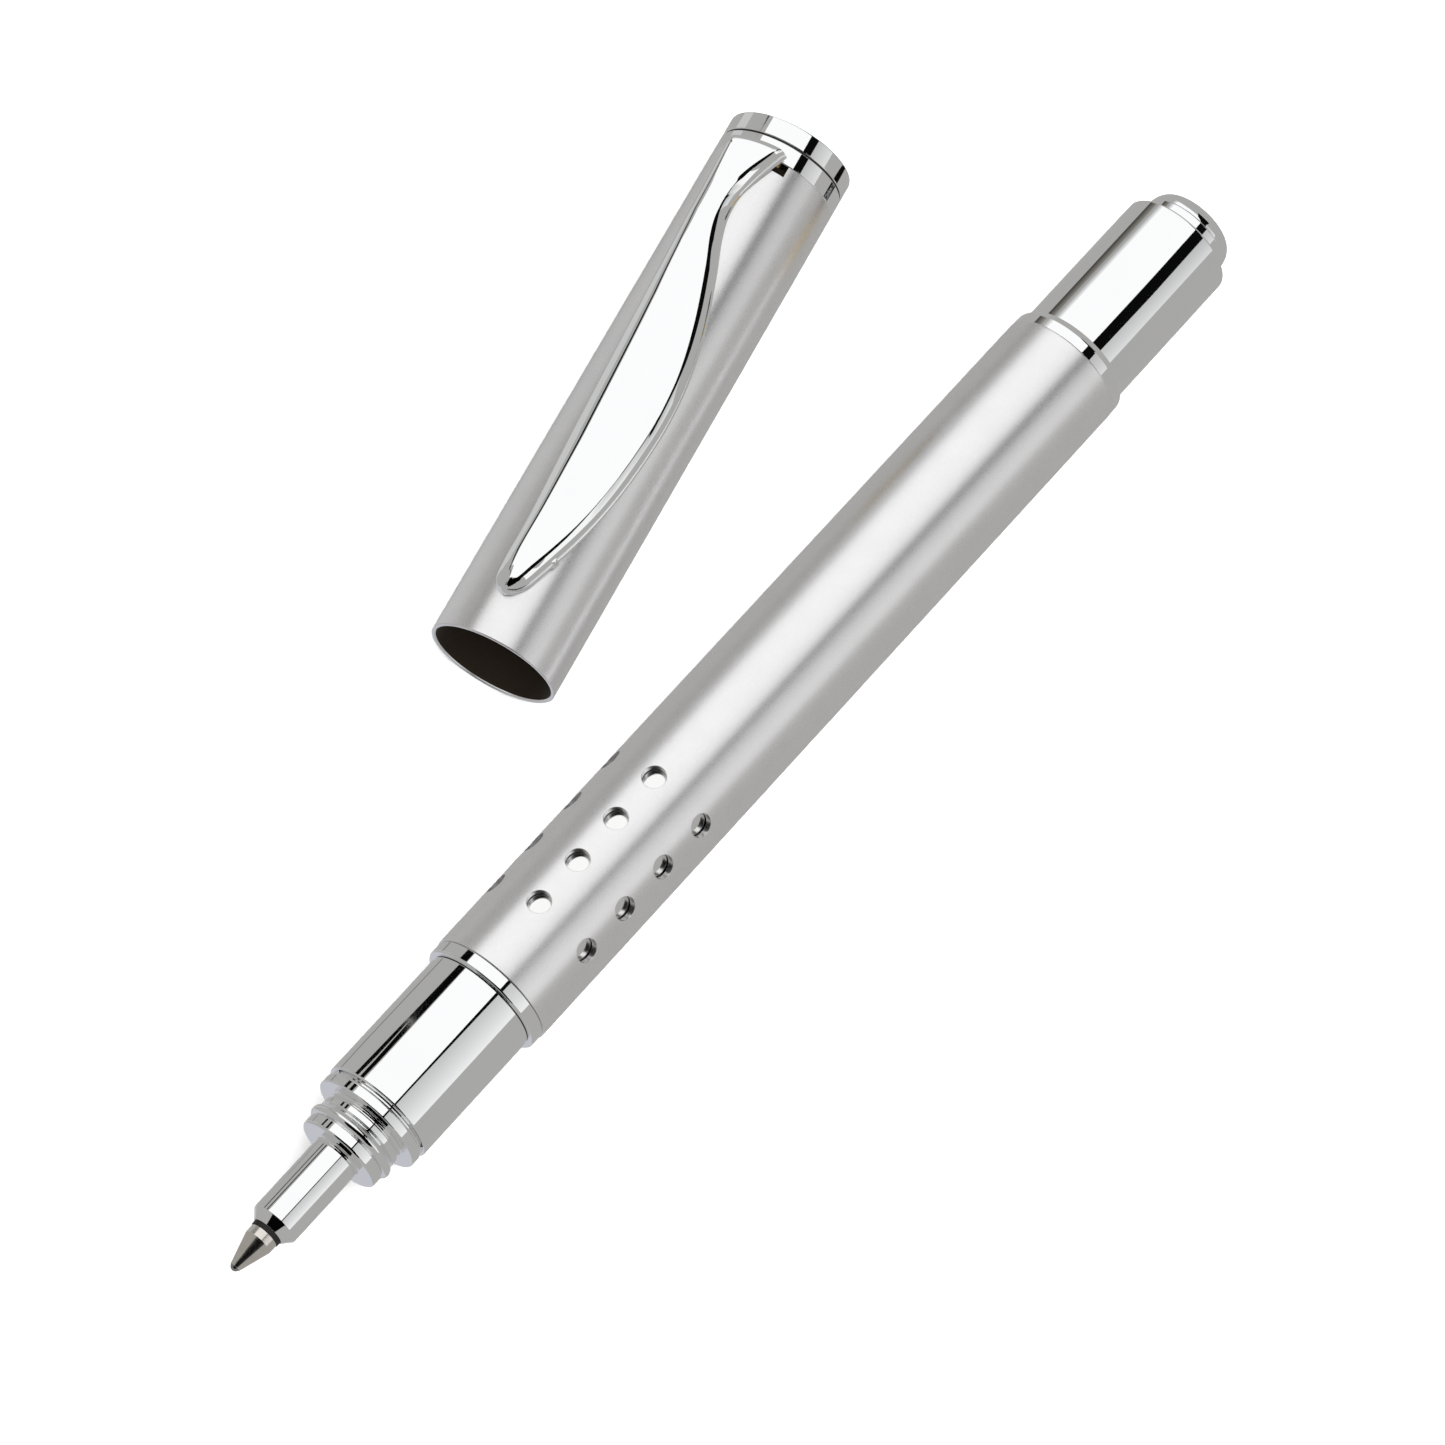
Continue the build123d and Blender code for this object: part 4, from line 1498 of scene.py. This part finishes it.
@dataclass
class Clip:
    """The polished clip: a flat-topped blade whose edges roll over towards the cap."""

    workshop: Workshop
    tilt: float = CLIP_TILT
    top: float = 6.9
    crowning: float = 0.03
    left_foot: float = 5.62
    right_foot: float = 5.50
    left_inset: tuple[OutlinePoint, ...] = (
        (3.7, 1.20),
        (6.0, 1.45),
        (20.0, 1.90),
        (33.5, 1.87),
        (37.5, 1.57),
        (41.0, 1.12),
        (47.9, 0.80),
    )
    right_inset: tuple[OutlinePoint, ...] = (
        (3.7, 1.0),
        (6.0, 1.25),
        (12.0, 1.42),
        (44.0, 1.36),
        (47.9, 0.50),
    )
    left_shape: tuple[float, float] = (0.52, 0.22)
    right_shape: tuple[float, float] = (0.56, 0.54)
    nose_roll: float = 1.15
    root_roll: float = 0.30
    root_bow: float = 0.32
    bow_reach: float = 3.0
    sheet: float = 0.45
    ceiling: float = 6.15
    fullest_roll: float = 0.985
    widest_hem: float = 0.3
    hem_slope: float = 1.6
    section_bias: float = 1.5
    smooth_angle: float = 40.0
    left_edge: tuple[OutlinePoint, ...] = (
        (47.75, 2.80),
        (40.0, 2.60),
        (30.0, 2.22),
        (20.0, 1.74),
        (11.0, 1.24),
        (6.4, 1.14),
        (4.9, 0.96),
        (4.05, 0.42),
    )
    nose: tuple[float, float] = (3.78, -0.32)
    right_edge: tuple[OutlinePoint, ...] = (
        (4.12, -1.08),
        (4.85, -1.72),
        (6.4, -2.38),
        (10.4, -3.78),
        (14.5, -4.70),
        (18.7, -5.20),
        (22.9, -5.33),
        (27.2, -4.91),
        (31.7, -3.85),
        (36.3, -2.30),
        (39.2, -1.18),
        (41.2, -0.68),
        (43.2, -0.66),
        (45.2, -1.20),
        (48.1, -2.46),
    )
    sections: int = 220
    roll_steps: int = 18
    flat_steps: int = 18
    bump: tuple[float, float, float] = (7.95, -2.62, 5.42)
    bump_radius: float = 0.46
    bump_height: float = 1.5
    bump_neck: float = 0.8
    bump_flatness: float = 0.9

    def edge_curve(self, points: Sequence[Sequence[float]], shares: np.ndarray) -> np.ndarray:
        """Runs a smooth curve through an edge's points.

        Args:
            points: The points, as station and side.
            shares: Where on the curve to read it, from 0 at its first point to 1 at its last.

        Returns:
            The places on the curve.
        """
        knots = np.array(points, float)
        steps = np.linalg.norm(np.diff(knots, axis=0), axis=1) ** 0.5
        along = np.concatenate([[0.0], np.cumsum(steps)])
        slopes = np.gradient(knots, along, axis=0)
        slopes[0] = (0.0, slopes[0][1])
        at = shares * along[-1]
        cell = np.clip(np.searchsorted(along, at, side="right") - 1, 0, len(knots) - 2)
        span = (along[cell + 1] - along[cell])[:, None]
        t = (at - along[cell])[:, None] / span
        return (
            (2 * t**3 - 3 * t**2 + 1) * knots[cell]
            + (t**3 - 2 * t**2 + t) * span * slopes[cell]
            + (3 * t**2 - 2 * t**3) * knots[cell + 1]
            + (t**3 - t**2) * span * slopes[cell + 1]
        )

    def roll(self, inset: float, drop: float, shape: tuple[float, float]) -> np.ndarray:
        """The curve of a rolled edge, from its foot up to the flat top.

        Args:
            inset: How far the roll reaches in from the edge.
            drop: How far it falls below the top.
            shape: How long it stays near the top and near the foot, as shares of both.

        Returns:
            Points as rows of distance in from the edge and distance below the top.
        """
        t = np.linspace(1.0, 0.0, self.roll_steps + 1)
        held, upright = inset * shape[0], drop * (1.0 - shape[1])
        out = 3 * t * (1 - t) ** 2 * held + 3 * t**2 * (1 - t) * inset + t**3 * inset
        fall = 3 * t**2 * (1 - t) * upright + t**3 * drop
        return np.column_stack([inset - out, fall])

    def section(self, left: np.ndarray, right: np.ndarray) -> np.ndarray:
        """One closed cut across the blade.

        Args:
            left: The left edge's place there, as station and side.
            right: The right edge's.

        Returns:
            The cut's points, from the left foot over the top and back underneath.
        """
        station = (left[0] + right[0]) / 2
        width = float(np.linalg.norm(left - right))
        across = (right - left) / max(width, 1e-9)
        insets = [
            float(np.interp(station, *np.transpose(table)))
            for table in (self.left_inset, self.right_inset)
        ]
        squeeze = min(1.0, self.fullest_roll * width / sum(insets))
        near_nose = min(1.0, (station - self.nose[0]) / self.nose_roll)
        near_root = min(1.0, (self.left_edge[0][0] - station) / self.root_roll)
        rise = quarter_round(near_nose)
        sag = self.root_roll * (1.0 - quarter_round(near_root))
        rows = []
        for inset, foot, shape, origin, inward in (
            (insets[0], self.left_foot, self.left_shape, left, across),
            (insets[1], self.right_foot, self.right_shape, right, -across),
        ):
            drop = (self.top - sag - foot) * rise
            curve = self.roll(inset * squeeze, drop, shape)
            across_edge = origin + curve[:, :1] * inward
            rows.append(np.column_stack([across_edge, foot + drop - curve[:, 1]]))
        over_left, over_right = rows[0], rows[1][::-1]
        shares = np.linspace(0.0, 1.0, self.flat_steps + 1)[1:-1, None]
        flat = over_left[-1] + (over_right[0] - over_left[-1]) * shares
        flat[:, 2] += arch(shares)[:, 0] * self.crowning * rise
        hem = min(self.sheet, self.widest_hem * width)
        roof = max(min(self.ceiling, float(over_left[-1][2]) - self.sheet * rise), self.left_foot)
        under = [
            np.append(right - across * hem, self.right_foot),
            np.append(right - across * hem * self.hem_slope, max(roof, self.right_foot)),
            np.append(left + across * hem * self.hem_slope, roof),
            np.append(left + across * hem, self.left_foot),
        ]
        cut = np.vstack([over_left, flat, over_right, *under])
        across_share = np.clip((cut[:, :2] - left) @ across / max(width, 1e-9), 0.0, 1.0)
        near_end = max(0.0, 1.0 - (self.left_edge[0][0] - left[0]) / self.bow_reach) ** 2
        cut[:, 0] += self.root_bow * near_end * arch(across_share)
        return cut

    def build(self) -> None:
        """Builds the clip and the bump under its point, and puts them on its body."""
        axis = self.workshop.cap_axis().tilted(self.tilt)
        shares = np.linspace(0.0, 1.0, self.sections) ** self.section_bias
        left = self.edge_curve([self.nose, *self.left_edge[::-1]], shares)
        right = self.edge_curve([self.nose, *self.right_edge], shares)
        skin = Skin()
        rows = []
        for here, there in zip(left, right):
            cut = self.section(here, there)
            rows.append(skin.row(axis.place(cut), np.zeros_like(cut)))
        for first, second in zip(rows, rows[1:]):
            skin.bridge(first, second)
        skin.faces.append(tuple(int(i) for i in rows[-1]))
        blade = skin.build("rolled_clip", self.smooth_angle)
        self.workshop.finish_piece(blade, "clip", CAP_CHROME, ["clip_blade"])
        station, side, height = self.bump
        place = Vector(axis.place(np.array([[station, side, height]]))[0])
        post = TurningAxis(place, axis.up, axis.along, axis.side)
        bump = turned("clip_contact_bump", post, self.bump_outline(), 48)
        self.workshop.finish_piece(bump, "clip", CAP_CHROME, [])

    def bump_outline(self, steps: int = 12) -> list[OutlinePoint]:
        """The round bump that presses on the cap, under a short neck.

        Args:
            steps: How many pieces its round end has.

        Returns:
            Its outline.
        """
        radius, neck = self.bump_radius, self.bump_radius * self.bump_height
        dome = []
        for i in range(1, steps + 1):
            turn = math.pi / 2 * (1 - i / steps)
            reach = radius * math.sin(turn) if i < steps else 0.0
            dome.append((-radius * math.cos(turn) * self.bump_flatness, reach, 0.0))
        return [(neck, 0.0), (neck, radius * self.bump_neck), (0.0, radius), *dome]


# --------------------------------------------------------------- table, light and camera


@dataclass(frozen=True)
class CardKnot:
    """One cut across a reflector card: where it starts and ends round the pen, and how bright."""

    reach: float
    start: float
    end: float
    start_tone: float
    end_tone: float


@dataclass(frozen=True)
class LightCard:
    """A large curved card far above the table, bright as a softbox or dark as a flag."""

    name: str
    knots: tuple[CardKnot, ...]
    tint: Rgb = (1.0, 1.0, 1.0)
    layer: int = 0


def plain_card(
    name: str,
    tone: float,
    layer: int,
    *cuts: tuple[float, float, float],
    tint: Rgb = (1.0, 1.0, 1.0),
) -> LightCard:
    """A card with one tone all over.

    Args:
        name: The card's name.
        tone: Its display tone.
        layer: How far in front of the other cards it hangs.
        *cuts: Its cuts, as reach, start and end.
        tint: Its tint.

    Returns:
        The card.
    """
    return LightCard(name, tuple(CardKnot(*cut, tone, tone) for cut in cuts), tint, layer)


GLARE = 1.02
CARDS = (
    plain_card(
        "overhead_softbox",
        GLARE,
        0,
        (-0.06, -60.0, 9.0),
        (0.10, -66.0, 9.4),
        (0.255, -64.0, 10.4),
        (0.29, -66.0, 9.0),
        (0.40, -74.0, 7.0),
        (0.66, -78.0, 2.0),
    ),
    LightCard(
        "softbox_feather",
        (
            CardKnot(0.36, -84.0, -70.0, 0.62, GLARE),
            CardKnot(0.4165, -87.0, -73.0, 0.60, GLARE),
            CardKnot(0.66, -92.0, -77.0, 0.66, GLARE),
        ),
    ),
    LightCard(
        "side_softbox",
        (
            CardKnot(-0.06, 8.0, 62.0, 0.99, 1.0),
            CardKnot(0.18, 10.0, 64.0, 0.98, 1.0),
            CardKnot(0.235, 12.0, 66.0, 0.80, 0.96),
            CardKnot(0.273, 12.0, 66.0, 0.78, 0.96),
            CardKnot(0.36, 20.0, 62.0, 0.82, 0.95),
            CardKnot(0.43, 24.0, 58.8, 0.74, 0.88),
            CardKnot(0.60, 14.0, 56.0, 0.78, 0.90),
        ),
    ),
    plain_card(
        "wedge_flag",
        0.04,
        2,
        (-0.14, -12.0, 28.0),
        (-0.03, -10.0, 27.0),
        (0.05, -6.0, 25.0),
        (0.11, 2.0, 20.0),
        (0.16, 7.0, 17.5),
        (0.21, 9.4, 14.0),
        (0.262, 9.2, 12.6),
        (0.29, 8.4, 15.4),
        (0.315, 9.5, 14.5),
        (0.385, 9.5, 14.5),
        (0.402, 5.4, 26.4),
        (0.41, 6.2, 27.4),
        (0.425, 7.2, 29.4),
        (0.437, 5.0, 27.0),
        (0.455, 4.0, 23.0),
        (0.50, 3.0, 20.0),
        (0.60, -10.0, 20.0),
        (0.70, -14.0, 24.0),
        (0.82, -18.0, 28.0),
    ),
    plain_card(
        "far_flag",
        0.03,
        2,
        (0.20, -95.0, -90.0),
        (0.245, -94.0, -89.5),
        (0.262, -88.0, -78.6),
        (0.2695, -86.0, -79.0),
    ),
    plain_card(
        "near_flag",
        0.03,
        2,
        (0.20, -76.0, -72.0),
        (0.245, -76.0, -71.0),
        (0.262, -75.5, -66.6),
        (0.2695, -77.5, -67.0),
    ),
    plain_card(
        "long_flag",
        0.03,
        2,
        (0.270, -85.5, -67.0),
        (0.284, -81.6, -67.0),
        (0.292, -82.0, -70.0),
    ),
    plain_card(
        "hair_flag",
        0.42,
        2,
        (0.240, -129.0, -126.5),
        (0.262, -136.0, -133.0),
        (0.290, -131.0, -128.0),
    ),
    LightCard(
        "tail_flag",
        (
            CardKnot(0.396, -104.5, -86.0, 0.22, 0.56),
            CardKnot(0.4165, -106.0, -89.0, 0.24, 0.56),
            CardKnot(0.46, -107.0, -90.0, 0.27, 0.60),
        ),
        (1.0, 0.95, 0.86),
        2,
    ),
    plain_card(
        "clip_flag",
        0.03,
        2,
        (0.085, -84.0, -69.0),
        (0.15, -83.0, -69.5),
        (0.19, -79.0, -72.0),
    ),
    plain_card("clip_fill", 0.79, 1, (0.08, -168.0, -104.0), (0.232, -168.0, -104.0)),
    plain_card(
        "dark_doorway",
        0.02,
        2,
        (-0.10, -12.0, 30.0),
        (-0.30, -38.0, 42.0),
        (-0.60, -50.0, 46.0),
        (-0.94, -58.0, 56.0),
    ),
    plain_card(
        "window_below",
        0.775,
        1,
        (-0.02, -205.0, -155.0),
        (-0.70, -215.0, -145.0),
        tint=(0.97, 0.985, 1.06),
    ),
)


@dataclass
class Studio:
    """The table, the soft light on it and the cards that the metal mirrors."""

    card_distance: float = 6.0
    layer_gap: float = 0.12
    table_size: float = 12.0
    room_tone: float = 0.675
    lamp_height: float = 1.4
    lamp_size: float = 2.2
    lamp_power: float = 62.0
    lamp_name: str = "table_lamp"
    room_warmth: Rgb = (1.01, 1.0, 0.975)
    card_steps: int = 20
    span_steps: int = 6
    wall_gap: float = 0.8
    wall_around: int = 32
    wall_tall: int = 16

    def direction(self, reach: float, turn: float) -> Vector:
        """A direction in the studio.

        Args:
            reach: How far it leans towards the pen's tail, from -1 to 1.
            turn: Its turn round the pen's axis in degrees, from straight up towards -Y.

        Returns:
            The direction.
        """
        lift = math.sqrt(max(0.0, 1.0 - reach * reach))
        angle = math.radians(turn)
        return Vector((reach, -math.sin(angle) * lift, math.cos(angle) * lift))

    @staticmethod
    def emission(name: str, attribute: str | None = None) -> bpy.types.Material:
        """A glowing material for things in the studio.

        Args:
            name: The material's name.
            attribute: The mesh colour that it shows, or None for plain white.

        Returns:
            The material.
        """
        material = bpy.data.materials.new(name)
        material.use_nodes = True
        tree = material.node_tree
        tree.nodes.clear()
        glow = tree.nodes.new("ShaderNodeEmission")
        glow.inputs["Strength"].default_value = 1.0
        if attribute:
            colour = tree.nodes.new("ShaderNodeAttribute")
            colour.attribute_name = attribute
            tree.links.new(colour.outputs["Color"], glow.inputs["Color"])
        output = tree.nodes.new("ShaderNodeOutputMaterial")
        tree.links.new(glow.outputs["Emission"], output.inputs["Surface"])
        return material

    def hang_card(self, card: LightCard, material: bpy.types.Material) -> None:
        """Hangs one card, seen only in the metal.

        Args:
            card: The card.
            material: The cards' glowing material.
        """
        distance = self.card_distance - card.layer * self.layer_gap
        knots = np.array([astuple(knot) for knot in card.knots])
        spans, columns = len(knots) - 1, self.card_steps + 1
        at = np.linspace(0.0, spans, spans * self.span_steps + 1)
        cuts = np.stack([np.interp(at, range(spans + 1), column) for column in knots.T], axis=1)
        points, colours = [], []
        for reach, start, end, start_tone, end_tone in cuts:
            for share in np.linspace(0.0, 1.0, columns):
                turn = start + (end - start) * share
                points.append(self.direction(reach, turn) * distance)
                light = display_to_linear(start_tone + (end_tone - start_tone) * share)
                colours.append([*(channel * light for channel in card.tint), 1.0])
        corners = [r * columns + k for r in range(len(cuts) - 1) for k in range(columns - 1)]
        mesh = bpy.data.meshes.new(card.name)
        mesh.from_pydata(points, [], [(a, a + 1, a + columns + 1, a + columns) for a in corners])
        layer = mesh.color_attributes.new("card_light", "FLOAT_COLOR", "POINT")
        layer.data.foreach_set("color", np.array(colours, np.float32).ravel())
        mesh.materials.append(material)
        self.stand(mesh, "camera", "diffuse", "transmission", "volume_scatter")

    @staticmethod
    def stand(mesh: bpy.types.Mesh, *unseen_by: str) -> None:
        """Puts a thing in the studio that isn't part of the pen.

        Args:
            mesh: The thing's mesh, which also gives it its name.
            *unseen_by: The kinds of light ray that go past it.
        """
        thing = bpy.data.objects.new(mesh.name, mesh)
        bpy.context.scene.collection.objects.link(thing)
        for ray in unseen_by:
            setattr(thing, f"visible_{ray}", False)
        thing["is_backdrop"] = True

    def lay_table(self, height: float) -> None:
        """Lays the pale table under the pen, with a white wall far round it.

        Args:
            height: The table's height in metres.
        """
        half = self.table_size / 2
        mesh = bpy.data.meshes.new("pale_table")
        sides = ((-half, -half), (half, -half), (half, half), (-half, half))
        mesh.from_pydata([(x, y, height) for x, y in sides], [], [(0, 1, 2, 3)])
        mesh.materials.append(PaperFinish().material())
        self.stand(mesh, "glossy")
        wall = bpy.data.meshes.new("white_wall")
        wall.from_pydata(*self.dome(self.card_distance + self.wall_gap))
        wall.materials.append(self.emission("white_wall_glow"))
        self.stand(wall, "glossy", "diffuse", "shadow")

    def dome(self, radius: float) -> tuple[list[Rgb], list, list[tuple[int, ...]]]:
        """The points, edges and faces of a plain ball of that radius."""
        around, tall = self.wall_around, self.wall_tall
        points, faces = [], []
        for i in range(tall + 1):
            ring = radius * math.sin(math.pi * i / tall)
            height = radius * math.cos(math.pi * i / tall)
            for k in range(around):
                turn = 2 * math.pi * k / around
                points.append((ring * math.cos(turn), ring * math.sin(turn), height))
                if i < tall:
                    a, b = i * around + k, i * around + (k + 1) % around
                    faces.append((a, b, b + around, a + around))
        return points, [], faces

    def light_room(self) -> None:
        """Fills the room with even grey light and hangs one large lamp over the table."""
        world = bpy.data.worlds.new("grey_room")
        world.use_nodes = True
        background = world.node_tree.nodes["Background"]
        grey = display_to_linear(self.room_tone)
        background.inputs["Color"].default_value = (*(grey * w for w in self.room_warmth), 1.0)
        background.inputs["Strength"].default_value = 1.0
        bpy.context.scene.world = world
        lamp = bpy.data.lights.new(self.lamp_name, "AREA")
        lamp.shape = "SQUARE"
        lamp.size = self.lamp_size
        lamp.energy = self.lamp_power
        hung = bpy.data.objects.new(self.lamp_name, lamp)
        hung.location = (0.0, 0.0, self.lamp_height)
        bpy.context.scene.collection.objects.link(hung)
        hung.visible_glossy = False

    def build(self) -> None:
        """Builds the whole studio."""
        low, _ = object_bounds()
        self.lay_table(low.z)
        self.light_room()
        material = self.emission("card_glow", "card_light")
        for card in CARDS:
            self.hang_card(card, material)
        log.info("studio: %d cards", len(CARDS))


@dataclass
class Viewpoint:
    """The camera, placed by where it aims and from which side it looks."""

    aim: tuple[float, float] = (-6.587, 0.809)
    distance: float = 550.114
    elevation: float = 70.1024
    azimuth: float = 172.0109
    roll: float = 51.1457
    lens: float = 170.259
    sensor: float = 36.0
    clipping: tuple[float, float] = (0.01, 30.0)

    def build(self, centre: Vector) -> None:
        """Makes the camera and gives it to the scene.

        Args:
            centre: The middle of the barrel, in metres.
        """
        lift, turn = math.radians(self.elevation), math.radians(self.azimuth)
        back = Matrix.Rotation(turn, 3, "Z") @ Vector((math.cos(lift), 0.0, math.sin(lift)))
        level = Vector((0, 0, 1)).cross(back).normalized()
        upright = back.cross(level)
        lean = math.radians(self.roll)
        right = level * math.cos(lean) + upright * math.sin(lean)
        data = bpy.data.cameras.new("table_camera")
        data.lens = self.lens
        data.sensor_width = self.sensor
        data.clip_start, data.clip_end = self.clipping
        camera = bpy.data.objects.new("table_camera", data)
        place = centre + Vector((*self.aim, 0.0)) * MM + back * self.distance * MM
        turned_to = Matrix((right, back.cross(right), back)).transposed().to_4x4()
        camera.matrix_world = Matrix.Translation(place) @ turned_to
        bpy.context.scene.collection.objects.link(camera)
        bpy.context.scene.camera = camera


def main() -> None:
    """Builds every sub-assembly, then the studio and the camera."""
    logging.basicConfig(level=logging.INFO, format="%(name)s: %(message)s")
    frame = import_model()
    bpy.context.scene.view_settings.view_transform = "Standard"
    workshop = Workshop(frame)
    Refill(workshop).build()
    GripSection(workshop).build()
    Barrel(workshop).build()
    Tail(workshop).build()
    Cap(workshop).build()
    Clip(workshop).build()
    Studio().build()
    low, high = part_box("barrel_tube")
    Viewpoint().build((low + high) / 2)


if __name__ == "__main__":
    main()
